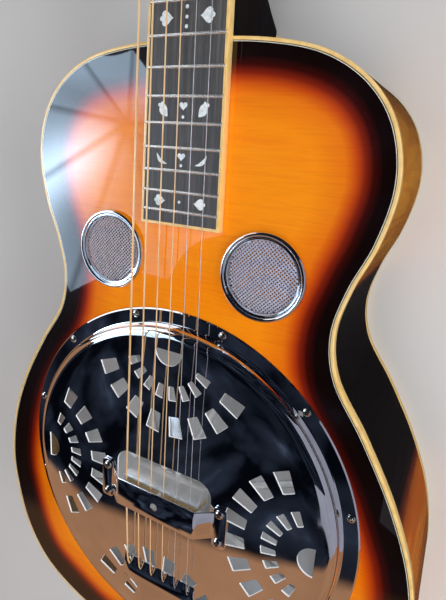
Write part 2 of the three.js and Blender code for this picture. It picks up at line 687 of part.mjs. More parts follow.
function tunerShaft(k) {
  const { side, y } = postOf(k);
  const low = SHAFT_LOW + POST_DROP;
  const core = turned([[0, low], [1.8, low], [1.8, -4.4], [2.5, -4.4], [2.5, 4.2], [1.8, 4.2], [1.8, 7.4],
    [0, 7.4]], 8);
  const section = new THREE.Shape();
  section.absarc(0, 0, 0.62, 0, Math.PI * 2);
  const settings = { steps: 14, bevelEnabled: false, curveSegments: 2, extrudePath: new Helix() };
  const thread = new THREE.ExtrudeGeometry(section, settings);
  const facing = -Math.PI / 2; // the thread's middle turn faces the gear
  return join(core, thread).rotateZ(facing).translate(side * GEAR_X, y + WORM_OFFSET, -POST_DROP);
}

function tunerButton(k) {
  const { side, y } = postOf(k);
  const outline = new THREE.Shape();
  outline.absellipse(0, 0, BUTTON.x, BUTTON.z, 0, Math.PI * 2);
  const blank = endProfile(outline, -BUTTON.half, BUTTON.half).translate(0, 0, SHAFT_LOW - 1.5);
  const socket = rod(2.1, SHAFT_LOW - GAP, SHAFT_LOW + 20, 8);
  return cut(blank, socket).translate(side * GEAR_X, y + WORM_OFFSET, 0);
}

// ---- Assembly ----
place(guitar, "soundboard", soundboard(), sunburst);
place(guitar, "back_panel", bodyPrism(BINDING + GAP, 0, PLY), sideWood);
place(guitar, "side_rim", sideRim(), sideWood);
place(guitar, "top_binding", bodyRing(0, BINDING, TOP - BINDING_DEPTH, TOP), ivory);
place(guitar, "back_binding", bodyRing(0, BINDING, 0, BINDING_DEPTH), ivory);
place(guitar, "top_lining", topLining(), rawWood);
place(guitar, "back_lining", backLining(), rawWood);
place(guitar, "neck_block", cut(endBlock(NECK_BLOCK), boltHole()), rawWood);
place(guitar, "tail_block", cut(endBlock(TAIL_BLOCK), pinHole()), rawWood);
place(guitar, "sound_well", soundWell(), rawWood);
place(guitar, "resonator_cone", resonatorCone(), aluminium);
place(guitar, "spider_bridge", spiderBridge(), aluminium);
place(guitar, "saddle_bass", saddle(-1), bone);
place(guitar, "saddle_treble", saddle(1), bone);
place(guitar, "tension_screw", tensionScrew(), nickel);
place(guitar, "coverplate", coverplate(), chrome);
place(guitar, "palm_rest", palmRest(), chrome);
PALM_SCREWS.forEach((spot, i) => place(guitar, `palm_rest_screw_${i + 1}`, palmScrew(spot), nickel));
place(guitar, "tailpiece", tailpiece(), chrome);
place(guitar, "strap_button", strapButton(), chrome);
for (const [name, s] of [["bass", -1], ["treble", 1]]) {
  place(guitar, `screen_ring_${name}`, screenRing().translate(s * SCREEN.x, SCREEN.y, 0), chrome);
  place(guitar, `screen_mesh_${name}`, screenMesh().translate(s * SCREEN.x, SCREEN.y, 0), steel);
  place(head, `tuner_plate_${name}`, tunerPlate(s), nickel);
}
place(guitar, "neck", neck(), blackLacquer);
place(guitar, "fretboard", fretboard(), ebony);
place(guitar, "fretboard_binding", fretboardBinding(), ivory);
place(guitar, "nut", nut(), bone);
place(guitar, "heel_cap", heelCap(), ivory);
place(guitar, "neck_bolt", neckBolt(), steel);
place(head, "headplate", headplate(), blackLacquer);
for (let k = 0; k < STRINGS; k += 1) {
  place(guitar, `string_${k + 1}`, string(k), k < 4 ? bronze : steel);
  place(head, `tuner_shaft_${k + 1}`, tunerShaft(k), nickel);
  place(head, `string_roller_${k + 1}`, stringRoller(k), brass);
  place(head, `tuner_button_${k + 1}`, tunerButton(k), bone);
}

export default guitar;
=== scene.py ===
"""A square-neck resonator guitar lying on its back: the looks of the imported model, in metres."""

import math

import bmesh
import bpy
import numpy as np
from mathutils import Matrix, Vector


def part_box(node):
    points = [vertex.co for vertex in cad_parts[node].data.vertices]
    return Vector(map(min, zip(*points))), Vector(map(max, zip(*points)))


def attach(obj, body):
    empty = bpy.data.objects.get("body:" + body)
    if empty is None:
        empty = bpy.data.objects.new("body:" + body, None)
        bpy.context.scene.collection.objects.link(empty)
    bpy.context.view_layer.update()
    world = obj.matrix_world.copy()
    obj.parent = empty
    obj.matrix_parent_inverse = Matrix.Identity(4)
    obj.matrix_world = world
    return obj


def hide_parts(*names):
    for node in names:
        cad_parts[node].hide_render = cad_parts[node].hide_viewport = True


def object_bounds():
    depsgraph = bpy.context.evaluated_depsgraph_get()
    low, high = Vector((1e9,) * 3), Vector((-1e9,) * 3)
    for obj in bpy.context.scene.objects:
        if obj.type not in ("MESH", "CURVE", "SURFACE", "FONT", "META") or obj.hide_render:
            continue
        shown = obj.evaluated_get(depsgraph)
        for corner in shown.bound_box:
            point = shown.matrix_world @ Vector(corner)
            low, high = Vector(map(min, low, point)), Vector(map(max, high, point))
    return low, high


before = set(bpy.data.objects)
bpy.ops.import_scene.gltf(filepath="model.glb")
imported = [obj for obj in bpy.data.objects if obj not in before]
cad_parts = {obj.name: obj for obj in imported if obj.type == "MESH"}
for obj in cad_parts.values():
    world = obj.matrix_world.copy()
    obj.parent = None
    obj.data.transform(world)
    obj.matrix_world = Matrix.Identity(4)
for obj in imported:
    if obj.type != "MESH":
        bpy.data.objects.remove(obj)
CAD_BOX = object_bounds()

# ---- Sizes, millimetres unless said ----
MM = 0.001
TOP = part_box("soundboard")[1][2] / MM
BODY = "guitar"
SCALE = 635
FRETS = 19
BODY_HALF = [  # x and y of the treble half, from the neck end round to the tail
    (0, 317), (50, 315), (84, 308), (107, 295), (122, 278), (130, 258), (132, 236),
    (126, 206), (115, 178), (109, 150), (114, 123), (136, 89), (159, 48), (175, 6),
    (182, -40), (179, -70), (166, -114), (142, -147), (105, -167), (55, -178), (0, -180),
]
BINDING = 2.15
PURFLING = 2.9
EDGE_DEPTH = 6  # how far the bindings reach up and down the side
PLATE_Y = -2
PLATE_RADIUS = 143.8
PLATE_FOOT = 133.6
PLATE_KNOTS = [  # radius and height over the soundboard, from the middle out to the flange
    (0, 13.8), (40, 13.5), (85, 12.8), (100, 12.3), (114, 11.55), (122, 11.0), (126.5, 10.6),
    (128.8, 10.0), (130.8, 8.6), (132, 6.8), (133, 4.2), (PLATE_FOOT, 1.5),
]
FLANGE_EDGE = 142.9  # where the flange's rim starts to round over
SHEET = 1.2
WELL_RADIUS = 134.5
CONE_SEAT = TOP - 12 + 0.3
FAN_RADIUS = 118
MOON_RADIUS = 11.3
FAN_ANGLES = [-64, -45.7, -27.4, -9.1, 9.1, 27.4, 45.7, 64]
FAN_ROWS = [(31.5, 11, 4.4, 6.6), (57, 16, 8.6, 11.6)]  # radius, length, near and far widths
RIM_SCREW_RADIUS = 139.5
SCREENS = {"bass": (-59.9, 177.4), "treble": (59.9, 177.4)}
SCREEN_RADIUS = 23.5
SADDLE_Y = 1.5
SCREW_Y = -4.8
SADDLE_HEIGHT = 19.7  # over the soundboard, like the nut's
NUT_HEIGHT = 20.2
STRING_RADIUS = [0.72, 0.56, 0.44, 0.34, 0.24, 0.2]
WINDING_PITCH = [0.42, 0.34, 0.28, 0.22]  # the four wound strings, bass first
SPACING = {"tail": 11.1, "saddle": 11.3, "nut": 8.34}
ANCHOR_Y = -80
PALM_SCREWS = [(-50, 6.5), (50, 6.5), (-50, -17.5), (50, -17.5)]
REST_TILT = 1.1  # how much lower the palm rest's front edge is than its back edge
BOARD_END = 202
BOARD_TOP = 6.07  # over the soundboard
BOARD_EDGE = 2
NUT_HALF = 23.3
BOARD_TAPER = 0.0159
NECK_BACK = 62
HEEL_Y = 317.4  # where the neck leaves the body
HEEL_FOOT = 5
HEAD_TILT = math.radians(13)
HEAD_LENGTH = 178
HEAD_THICK = 18
HEAD_HALF = 34
VENEER = 2
SLOT_IN, SLOT_OUT, SLOT_START, SLOT_END = 7, 22, 24, 152
POST_Y = [44, 84, 124]
POST_DROP = 9  # from the headstock's face down to the rollers
GEAR_TEETH = 14
GEAR_X = HEAD_HALF + 5.6
WORM_OFFSET = 9  # from a roller's axis to its worm's
WORM_LEAD = 2 * math.pi * 6 / GEAR_TEETH  # one tooth's width on the gear
PIN_HEIGHT = 49


# ---- Mesh helpers ----
def add_piece(name, mesh, finish, nodes=(), body=BODY, sharp=35):
    """Links a mesh as a piece of the guitar, standing for the named CAD nodes."""
    material, slot = FINISH[finish]
    mesh.name = name
    piece = bpy.data.objects.new(name, mesh)
    bpy.context.collection.objects.link(piece)
    if sharp is not None:
        mesh.polygons.foreach_set("use_smooth", [True] * len(mesh.polygons))
        mesh.set_sharp_from_angle(angle=math.radians(sharp))
    mesh.materials.clear()
    mesh.materials.append(material)
    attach(piece, body)
    if nodes:
        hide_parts(*nodes)
    return piece


def from_bmesh(bm, scale=MM):
    bmesh.ops.recalc_face_normals(bm, faces=bm.faces[:])
    if scale != 1:
        bm.transform(Matrix.Scale(scale, 4))
    return unpacked(bm)


def unpacked(bm):
    mesh = bpy.data.meshes.new("made")
    bm.to_mesh(mesh)
    bm.free()
    return mesh


def evaluated(data, kind=None, **settings):
    """The mesh of a curve or mesh, after one modifier where a kind is named."""
    holder = bpy.data.objects.new("holder", data)
    bpy.context.collection.objects.link(holder)
    if kind:
        modifier = holder.modifiers.new("step", kind)
        for key, value in settings.items():
            setattr(modifier, key, value)
    bpy.context.view_layer.update()
    graph = bpy.context.evaluated_depsgraph_get()
    mesh = bpy.data.meshes.new_from_object(holder.evaluated_get(graph))
    bpy.data.objects.remove(holder)
    return mesh


def skin(bm, rows, closed=True, caps=True):
    """Quads between rows of vertices, round the rows if closed, with their ends capped."""
    count = len(rows[0])
    for one, two in zip(rows, rows[1:]):
        for i in range(count if closed else count - 1):
            j = (i + 1) % count
            bm.faces.new((one[i], one[j], two[j], two[i]))
    if caps:
        bm.faces.new(rows[0])
        bm.faces.new(rows[-1])


def joined(*meshes):
    bm = bmesh.new()
    for mesh in meshes:
        bm.from_mesh(mesh)
    return unpacked(bm)


def moved(mesh, matrix):
    copy = mesh.copy()
    copy.transform(matrix)
    return copy


def shift(x, y, z):
    return Matrix.Translation(Vector((x, y, z)) * MM)


ON_EDGE = Matrix.Rotation(math.pi / 2, 4, "X")  # stands a flat outline up, facing along Y
CROSSWISE = Matrix.Rotation(math.pi / 2, 4, "Y")  # lays an upright axis along X


def plate(loops, low, high, bevel=0.0, rounds=2):
    """A flat plate with holes, its edges rounded over: the first loop is the outside."""
    curve = bpy.data.curves.new("outline", "CURVE")
    curve.dimensions = "2D"
    curve.fill_mode = "BOTH"
    for loop in loops:
        spline = curve.splines.new("POLY")
        spline.points.add(len(loop) - 1)
        for point, (x, y) in zip(spline.points, loop):
            point.co = (x * MM, y * MM, 0, 1)
        spline.use_cyclic_u = True
    curve.extrude = ((high - low) / 2 - bevel) * MM
    curve.bevel_depth = bevel * MM
    curve.bevel_resolution = rounds
    curve.offset = -bevel * MM
    bm = bmesh.new()
    bm.from_mesh(evaluated(curve))
    bmesh.ops.remove_doubles(bm, verts=bm.verts[:], dist=2e-6)
    return moved(from_bmesh(bm, 1), shift(0, 0, (low + high) / 2))


def gridded(mesh, step):
    """Cuts a plate into squares so that its vertices can carry a pattern."""
    bm = bmesh.new()
    bm.from_mesh(mesh)
    xs = [v.co.x for v in bm.verts]
    ys = [v.co.y for v in bm.verts]
    for axis, low, high in ((0, min(xs), max(xs)), (1, min(ys), max(ys))):
        normal = Vector((1, 0, 0)) if axis == 0 else Vector((0, 1, 0))
        for k in range(1, int((high - low) / (step * MM))):
            point = normal * (low + k * step * MM)
            geom = bm.verts[:] + bm.edges[:] + bm.faces[:]
            bmesh.ops.bisect_plane(bm, geom=geom, plane_co=point, plane_no=normal, dist=1e-7)
    return unpacked(bm)


def lathe(profile, segments=64, centre=(0, 0, 0), radius=None):
    """A turned piece about Z from [r, z] points; radius(angle, r, z) may reshape it."""
    verts = []
    faces = []
    rows = len(profile)
    for k in range(segments):
        a = 2 * math.pi * k / segments
        for r, z in profile:
            rr = radius(a, r, z) if radius else r
            verts.append((centre[0] + rr * math.cos(a), centre[1] + rr * math.sin(a), centre[2] + z))
    closed = profile[0][0] > 1e-6 or profile[-1][0] > 1e-6
    for k in range(segments):
        n = (k + 1) % segments
        for i in range(rows if closed else rows - 1):
            j = (i + 1) % rows
            faces.append((k * rows + i, n * rows + i, n * rows + j, k * rows + j))
    bm = bmesh.new()
    made = [bm.verts.new(v) for v in verts]
    for face in faces:
        bm.faces.new([made[i] for i in face])
    bmesh.ops.remove_doubles(bm, verts=bm.verts[:], dist=1e-4)
    bmesh.ops.dissolve_degenerate(bm, edges=bm.edges[:], dist=1e-5)
    return from_bmesh(bm)


def rod(radius, low, high, sides, centre=(0, 0, 0)):
    return lathe([(0, low), (radius, low), (radius, high), (0, high)], sides, centre)


def tube(path, radius, sides=12):
    """A round wire along a list of points."""
    points = [Vector(p) for p in path]
    bm = bmesh.new()
    rings = []
    side = None
    for i, p in enumerate(points):
        ahead = points[min(i + 1, len(points) - 1)] - points[max(i - 1, 0)]
        ahead.normalize()
        if side is None:
            side = ahead.orthogonal().normalized()
        side = (side - ahead * side.dot(ahead)).normalized()
        up = ahead.cross(side)
        angles = [2 * math.pi * k / sides for k in range(sides)]
        rings.append([bm.verts.new(p + (side * math.cos(a) + up * math.sin(a)) * radius) for a in angles])
    skin(bm, rings)
    return from_bmesh(bm)


def carved(mesh, cutters, operation="DIFFERENCE"):
    """The mesh with every cutter taken out of it, or joined to it."""
    tool = bpy.data.objects.new("tool", joined(*cutters))
    bpy.context.collection.objects.link(tool)
    result = evaluated(mesh, "BOOLEAN", operation=operation, object=tool, solver="EXACT")
    bpy.data.objects.remove(tool)
    return result


def bevelled(mesh, width, segments=2, angle=30):
    """Rounds the sharp edges of a mesh."""
    limit = {"limit_method": "ANGLE", "angle_limit": math.radians(angle)}
    return evaluated(mesh, "BEVEL", width=width * MM, segments=segments, **limit)


def thickened(mesh, thickness):
    return evaluated(mesh, "SOLIDIFY", thickness=thickness * MM, offset=-1)


def block(x0, x1, y0, y1, z0, z1):
    bm = bmesh.new()
    bmesh.ops.create_cube(bm, size=1)
    middle = Vector(((x0 + x1) / 2, (y0 + y1) / 2, (z0 + z1) / 2))
    bm.transform(Matrix.Translation(middle) @ Matrix.Diagonal((x1 - x0, y1 - y0, z1 - z0, 1)))
    return from_bmesh(bm)


def circle(x, y, r, n=48, start=0.0):
    steps = [start + 2 * math.pi * k / n for k in range(n)]
    return [(x + r * math.cos(a), y + r * math.sin(a)) for a in steps]


def rounded_rect(x0, x1, y0, y1, r, n=8):
    points = []
    corners = [(x1 - r, y0 + r, -90), (x1 - r, y1 - r, 0), (x0 + r, y1 - r, 90), (x0 + r, y0 + r, 180)]
    for cx, cy, start in corners:
        for k in range(n + 1):
            a = math.radians(start + 90 * k / n)
            points.append((cx + r * math.cos(a), cy + r * math.sin(a)))
    return points


def smooth_path(points, per=8):
    """Centripetal Catmull-Rom through open points, for bends and profiles."""
    pts = [Vector(p) for p in points]
    pts = [pts[0] * 2 - pts[1], *pts, pts[-1] * 2 - pts[-2]]
    made = []
    for p0, p1, p2, p3 in zip(pts, pts[1:], pts[2:], pts[3:]):
        made += [spline_point(p0, p1, p2, p3, k / per) for k in range(per)]
    return [*made, pts[-2]]


def spline_point(p0, p1, p2, p3, t):
    d0 = max((p1 - p0).length ** 0.5, 1e-6)
    d1 = max((p2 - p1).length ** 0.5, 1e-6)
    d2 = max((p3 - p2).length ** 0.5, 1e-6)
    m1 = ((p1 - p0) / d0 - (p2 - p0) / (d0 + d1) + (p2 - p1) / d1) * d1
    m2 = ((p2 - p1) / d1 - (p3 - p1) / (d1 + d2) + (p3 - p2) / d2) * d1
    a = p1 * 2 - p2 * 2 + m1 + m2
    b = p2 * 3 - p1 * 3 - m1 * 2 - m2
    return a * t**3 + b * t**2 + m1 * t + p1


# ---- Body outline ----
def body_outline(per=9):
    right = [Vector((x, y, 0)) for x, y in BODY_HALF]
    left = [Vector((-x, y, 0)) for x, y in BODY_HALF[-2:0:-1]]
    ring = right + left
    n = len(ring)
    points = []
    for i in range(n):
        quad = [ring[(i + k) % n] for k in (-1, 0, 1, 2)]
        points += [spline_point(*quad, k / per) for k in range(per)]
    fit = min(1, (CAD_BOX[1][0] / MM - 0.005) / max(p.x for p in points))
    return [Vector((p.x * fit, p.y, 0)) for p in reversed(points)]


OUTLINE = body_outline()


def inset(distance):
    """The body's outline drawn in by a distance, counter-clockwise."""
    n = len(OUTLINE)
    points = []
    for i, p in enumerate(OUTLINE):
        along = (OUTLINE[(i + 1) % n] - OUTLINE[i - 1]).normalized()
        points.append((p.x - along.y * distance, p.y + along.x * distance))
    return points


def edge_distance(mesh):
    """Distance in millimetres from each vertex to the body's outline."""
    line = np.array([(p.x, p.y) for p in OUTLINE])
    ends = np.roll(line, -1, axis=0)
    span = ends - line
    co = np.empty(len(mesh.vertices) * 3)
    mesh.vertices.foreach_get("co", co)
    co = co.reshape(-1, 3)[:, :2] / MM
    nearest = np.full(len(co), 1e9)
    for a, d in zip(line, span):
        t = np.clip(((co - a) @ d) / (d @ d), 0, 1)
        gap = np.linalg.norm(co - (a + t[:, None] * d), axis=1)
        nearest = np.minimum(nearest, gap)
    return co, nearest


def store(mesh, name, values):
    layer = mesh.attributes.new(name, "FLOAT", "POINT")
    layer.data.foreach_set("value", np.asarray(values, dtype=np.float32))


# ---- Shader helpers ----
class Nodes:
    """Short calls for the nodes of a tree."""

    def __init__(self, tree, space):
        self.tree = tree
        self.coords = self.node("ShaderNodeTexCoord").outputs[space]

    def node(self, kind, **settings):
        made = self.tree.nodes.new(kind)
        for key, value in settings.items():
            setattr(made, key, value)
        return made

    def put(self, source, target):
        self.tree.links.new(source, target)

    def stretched(self, x, y, z):
        mapping = self.node("ShaderNodeMapping")
        mapping.inputs["Scale"].default_value = (x, y, z)
        self.put(self.coords, mapping.inputs["Vector"])
        return mapping.outputs["Vector"]

    def noise(self, vector, scale=1.0, detail=4.0, roughness=0.55, distortion=0.0):
        made = self.node("ShaderNodeTexNoise")
        values = {"Scale": scale, "Detail": detail, "Roughness": roughness, "Distortion": distortion}
        for key, value in values.items():
            made.inputs[key].default_value = value
        self.put(vector, made.inputs["Vector"])
        return made.outputs["Fac"]

    def ramp(self, source, stops):
        made = self.node("ShaderNodeValToRGB")
        elements = made.color_ramp.elements
        while len(elements) < len(stops):
            elements.new(0.5)
        for element, (place, colour) in zip(elements, stops):
            element.position = place
            element.color = (*colour, 1)
        self.put(source, made.inputs["Fac"])
        return made.outputs["Color"]

    def grey(self, source, low, high, value_low=0.0, value_high=1.0):
        made = self.node("ShaderNodeMapRange")
        values = {"From Min": low, "From Max": high, "To Min": value_low, "To Max": value_high}
        for key, value in values.items():
            made.inputs[key].default_value = value
        self.put(source, made.inputs["Value"])
        return made.outputs["Result"]

    def fill(self, target, value):
        """Sets a socket to a number, a vector or a colour, or links a source to it."""
        if isinstance(value, (int, float)):
            target.default_value = value
        elif isinstance(value, tuple):
            target.default_value = (*value, 1) if target.type == "RGBA" else value
        else:
            self.put(value, target)

    def maths(self, operation, a, b):
        made = self.node("ShaderNodeMath", operation=operation)
        self.fill(made.inputs[0], a)
        self.fill(made.inputs[1], b)
        return made.outputs["Value"]

    def vector_maths(self, operation, a, b=None):
        made = self.node("ShaderNodeVectorMath", operation=operation)
        self.fill(made.inputs[0], a)
        if b:
            self.fill(made.inputs[1], b)
        return made.outputs["Value" if operation in ("DOT_PRODUCT", "LENGTH") else "Vector"]

    def mix(self, factor, a, b, blend="MIX"):
        made = self.node("ShaderNodeMix", data_type="RGBA", blend_type=blend)
        for socket, value in ((0, factor), (6, a), (7, b)):
            self.fill(made.inputs[socket], value)
        return made.outputs[2]

    def attribute(self, name):
        return self.node("ShaderNodeAttribute", attribute_name=name).outputs["Fac"]

    def polar(self, x=0.0, y=0.0):
        """Distance from an upright axis through (x, y), in metres."""
        off_axis = self.vector_maths("SUBTRACT", self.coords, (x, y, 0))
        return self.vector_maths("LENGTH", self.vector_maths("MULTIPLY", off_axis, (1, 1, 0)))


class Surface(Nodes):
    """A Principled material with short calls for what feeds its shader."""

    def __init__(self, name, colour=(0.8, 0.8, 0.8), **inputs):
        self.material = bpy.data.materials.new(name)
        self.material.use_nodes = True
        super().__init__(self.material.node_tree, "Object")
        self.shader = self.tree.nodes["Principled BSDF"]
        self.shader.inputs["Base Color"].default_value = (*colour, 1)
        for key, value in inputs.items():
            self.shader.inputs[key.replace("_", " ")].default_value = value

    def feed(self, source, name):
        self.put(source, self.shader.inputs[name])

    def bump(self, height, strength, distance=0.0002):
        made = self.node("ShaderNodeBump")
        made.inputs["Strength"].default_value = strength
        made.inputs["Distance"].default_value = distance
        self.put(height, made.inputs["Height"])
        self.feed(made.outputs["Normal"], "Normal")

    def shine(self, colour, strength):
        """Light of the surface's own: a number, or a source that varies over it."""
        self.fill(self.shader.inputs["Emission Color"], colour)
        self.fill(self.shader.inputs["Emission Strength"], strength)


def dimmed(colour, share):
    return tuple(c * share for c in colour)


LACQUER = {
    "Roughness": 0.32, "Specular_IOR_Level": 0.1,
    "Coat_Weight": 1.0, "Coat_Roughness": 0.025, "Coat_IOR": 1.55,
}


def sunburst():
    """Amber figured maple fading through red to near black at the edge, under gloss lacquer."""
    s = Surface("sunburst_lacquer", **LACQUER)
    wander = s.noise(s.coords, 9, 2)
    edge = s.maths("ADD", s.attribute("burst"), s.grey(wander, 0.3, 0.7, -1.5, 1.5))
    burst = s.ramp(s.grey(edge, 0, 50), [
        (0.0, (0.003, 0.0012, 0.0012)), (0.26, (0.005, 0.0014, 0.0012)), (0.36, (0.035, 0.002, 0.001)),
        (0.45, (0.20, 0.012, 0.001)), (0.54, (0.52, 0.065, 0.001)), (0.66, (0.78, 0.19, 0.0015)),
        (1.0, (0.92, 0.285, 0.002)),
    ])
    flame = s.noise(s.stretched(5, 75, 20), 1, 3, 0.5, 0.4)
    grain = s.noise(s.stretched(40, 700, 100), 1, 3, 0.6)
    figured = s.mix(s.grey(flame, 0.35, 0.7, 0.0, 0.35), burst, (1.0, 0.62, 0.35), "MULTIPLY")
    lined = s.mix(s.grey(grain, 0.45, 0.75, 0.0, 0.30), figured, (0.72, 0.42, 0.25), "MULTIPLY")
    s.feed(lined, "Base Color")
    s.feed(s.grey(grain, 0.3, 0.8, 0.27, 0.36), "Roughness")
    s.bump(s.noise(s.coords, 14, 2), 0.04, 0.0006)
    return s.material


def flamed_side():
    """The sides' flamed maple: amber at the bouts, black at the waist, heel and tail."""
    s = Surface("side_lacquer", **LACQUER)
    burst = s.ramp(s.attribute("burst"), [
        (0.0, (0.005, 0.002, 0.0015)), (0.22, (0.012, 0.003, 0.002)), (0.42, (0.16, 0.025, 0.004)),
        (0.62, (0.76, 0.21, 0.018)), (1.0, (0.95, 0.40, 0.034)),
    ])
    curl = s.noise(s.stretched(60, 60, 7), 1, 2, 0.45, 0.8)
    stripes = s.mix(s.grey(curl, 0.38, 0.62, 0.0, 0.6), burst, (0.5, 0.28, 0.16), "MULTIPLY")
    grain = s.noise(s.stretched(30, 30, 500), 1, 3, 0.6)
    lined = s.mix(s.grey(grain, 0.4, 0.75, 0.0, 0.35), stripes, (0.6, 0.4, 0.25), "MULTIPLY")
    s.feed(lined, "Base Color")
    s.feed(s.grey(curl, 0.3, 0.7, 0.26, 0.36), "Roughness")
    s.bump(s.noise(s.coords, 18, 2), 0.04, 0.0005)
    return s.material


def binding_material():
    """Cream binding with the faint long grain of aged celluloid."""
    s = Surface("cream_binding", Roughness=0.28, Coat_Weight=0.6, Coat_Roughness=0.05)
    grain = s.noise(s.stretched(120, 120, 900), 1, 4, 0.6, 0.5)
    cloud = s.noise(s.coords, 45, 2)
    base = s.ramp(grain, [(0.3, (0.70, 0.44, 0.14)), (0.55, (0.84, 0.58, 0.21)), (0.8, (0.90, 0.66, 0.29))])
    s.feed(s.mix(s.grey(cloud, 0.4, 0.7, 0.0, 0.3), base, (0.80, 0.66, 0.40)), "Base Color")
    s.bump(grain, 0.08)
    return s.material


def purfling(name, colour):
    s = Surface(name, Roughness=0.3, Coat_Weight=0.8, Coat_Roughness=0.04)
    speckle = s.noise(s.coords, 900, 2)
    dark = dimmed(colour, 0.75)
    s.feed(s.mix(s.grey(speckle, 0.35, 0.65), colour, dark), "Base Color")
    return s.material


def chrome(name, tint=(0.90, 0.905, 0.92), roughness=0.03, wave=0.10):
    """Plated sheet: a mirror with faint waves from pressing and a few fine wipe marks."""
    s = Surface(name, tint, Metallic=1.0, Roughness=roughness)
    smear = s.noise(s.coords, 60, 4, 0.6)
    marks = s.noise(s.stretched(300, 2200, 300), 1, 2, 0.5, 0.6)
    rough = s.maths("ADD", s.grey(smear, 0.4, 0.8, 0.0, 0.035), s.grey(marks, 0.68, 0.8, 0.0, 0.05))
    s.feed(s.maths("ADD", rough, roughness), "Roughness")
    tone = dimmed(tint, 0.94)
    s.feed(s.mix(s.grey(smear, 0.35, 0.7), tint, tone), "Base Color")
    s.bump(s.noise(s.coords, 22, 1, 0.4), wave, 0.0009)
    return s.material


def spun_metal(name, x, y, colour=(0.62, 0.63, 0.64), rings=2600):
    """Spun aluminium: fine rings about the piece's own axis, and a dull sheen."""
    s = Surface(name, colour, Metallic=0.65, Roughness=0.36)
    radius = s.polar(x, y)
    line = s.node("ShaderNodeCombineXYZ")
    s.put(s.maths("MULTIPLY", radius, rings), line.inputs["X"])
    turns = s.noise(line.outputs["Vector"], 1, 2, 0.6)
    cloud = s.noise(s.coords, 35, 3)
    dark = dimmed(colour, 0.72)
    shade = s.mix(s.grey(turns, 0.3, 0.7), colour, dark)
    s.feed(s.mix(s.grey(cloud, 0.4, 0.75, 0.0, 0.35), shade, dark), "Base Color")
    s.feed(s.grey(turns, 0.3, 0.7, 0.28, 0.46), "Roughness")
    s.bump(turns, 0.25, 0.00005)
    return s.material


def cast_metal(name, colour=(0.58, 0.59, 0.60)):
    s = Surface(name, colour, Metallic=0.6, Roughness=0.4)
    grit = s.noise(s.coords, 1500, 3)
    cloud = s.noise(s.coords, 70, 2)
    dark = dimmed(colour, 0.7)
    s.feed(s.mix(s.grey(cloud, 0.35, 0.7), colour, dark), "Base Color")
    s.feed(s.grey(grit, 0.3, 0.7, 0.32, 0.55), "Roughness")
    s.bump(grit, 0.3, 0.00006)
    return s.material


def plated(name, colour, roughness=0.14, metallic=1.0, tarnished=0.7, glow=0.0):
    """Nickel, brass or steel hardware with soft tarnish and fine polishing marks; a glow above zero is a
    painted glint, light of its own.
    """
    s = Surface(name, colour, Metallic=metallic, Roughness=roughness)
    # painted glint: a glow makes the surface shine without a lamp
    s.shine((0.9, 0.95, 1), glow)
    tarnish = s.noise(s.coords, 160, 4)
    marks = s.noise(s.stretched(2500, 300, 300), 1, 2)
    dark = dimmed(colour, 0.7)
    s.feed(s.mix(s.grey(tarnish, 0.42, 0.75, 0.0, tarnished), colour, dark), "Base Color")
    s.feed(s.maths("ADD", s.grey(marks, 0.4, 0.8, 0.0, 0.12), roughness), "Roughness")
    s.bump(marks, 0.08, 0.00004)
    return s.material


def wound_wire(name, colour, pitch):
    """Wire wrapped round a core: one ridge in each pitch along the string, with painted shade in the grooves
    between the ridges.
    """
    s = Surface(name, colour, Metallic=0.45, Roughness=0.3)
    wave = s.node("ShaderNodeTexWave", wave_type="BANDS", bands_direction="Y", wave_profile="SIN")
    wave.inputs["Scale"].default_value = 2 * math.pi / (20 * pitch * MM)
    s.put(s.coords, wave.inputs["Vector"])
    # a darker copy of the colour for the painted shade in the grooves
    dark = dimmed(colour, 0.35)
    tint = s.noise(s.stretched(200, 25, 200), 1, 2)
    warm = (colour[0] * 0.9, colour[1] * 0.78, colour[2] * 0.6)
    base = s.mix(s.grey(tint, 0.4, 0.7), colour, warm)
    # painted shade: the colour darkens where the wave is low, in the grooves between windings
    s.feed(s.mix(s.grey(wave.outputs["Fac"], 0.05, 0.4, 0.3, 0.0), base, dark), "Base Color")
    s.bump(wave.outputs["Fac"], 0.25, 0.00004)
    return s.material


def plain_wire():
    s = Surface("plain_wire", (0.80, 0.80, 0.82), Metallic=0.7, Roughness=0.2)
    draw = s.noise(s.stretched(3000, 60, 3000), 1, 2)
    s.feed(s.grey(draw, 0.3, 0.7, 0.14, 0.3), "Roughness")
    s.feed(s.mix(s.grey(draw, 0.3, 0.7), (0.82, 0.82, 0.84), (0.68, 0.68, 0.70)), "Base Color")
    return s.material


def ebony():
    """Dark fretboard wood with open grain running down the neck."""
    s = Surface("fretboard_wood", Roughness=0.5)
    streak = s.noise(s.stretched(420, 14, 300), 1, 4, 0.6, 0.3)
    pores = s.noise(s.stretched(1500, 60, 1500), 1, 2, 0.5)
    base = s.ramp(streak, [
        (0.25, (0.022, 0.021, 0.022)), (0.5, (0.050, 0.048, 0.049)), (0.72, (0.095, 0.090, 0.088)),
    ])
    dotted = s.mix(s.grey(pores, 0.58, 0.7, 0.0, 0.5), base, (0.13, 0.115, 0.105))
    s.feed(dotted, "Base Color")
    s.feed(s.grey(streak, 0.3, 0.7, 0.42, 0.58), "Roughness")
    s.bump(pores, 0.25, 0.00008)
    return s.material


def pearl():
    """Mother-of-pearl: pale blue and grey patches with a soft lustre."""
    s = Surface("pearl_inlay", Roughness=0.22, Coat_Weight=0.5, Coat_Roughness=0.05)
    cells = s.node("ShaderNodeTexVoronoi")
    cells.inputs["Scale"].default_value = 420
    s.put(s.coords, cells.inputs["Vector"])
    swirl = s.noise(s.coords, 260, 3, 0.6, 1.5)
    base = s.ramp(swirl, [
        (0.3, (0.36, 0.45, 0.52)), (0.48, (0.62, 0.72, 0.80)), (0.6, (0.80, 0.84, 0.86)),
        (0.75, (0.60, 0.66, 0.74)),
    ])
    edges = s.grey(cells.outputs["Distance"], 0.2, 0.7, 0.0, 0.35)
    s.feed(s.mix(edges, base, (0.86, 0.88, 0.86)), "Base Color")
    return s.material


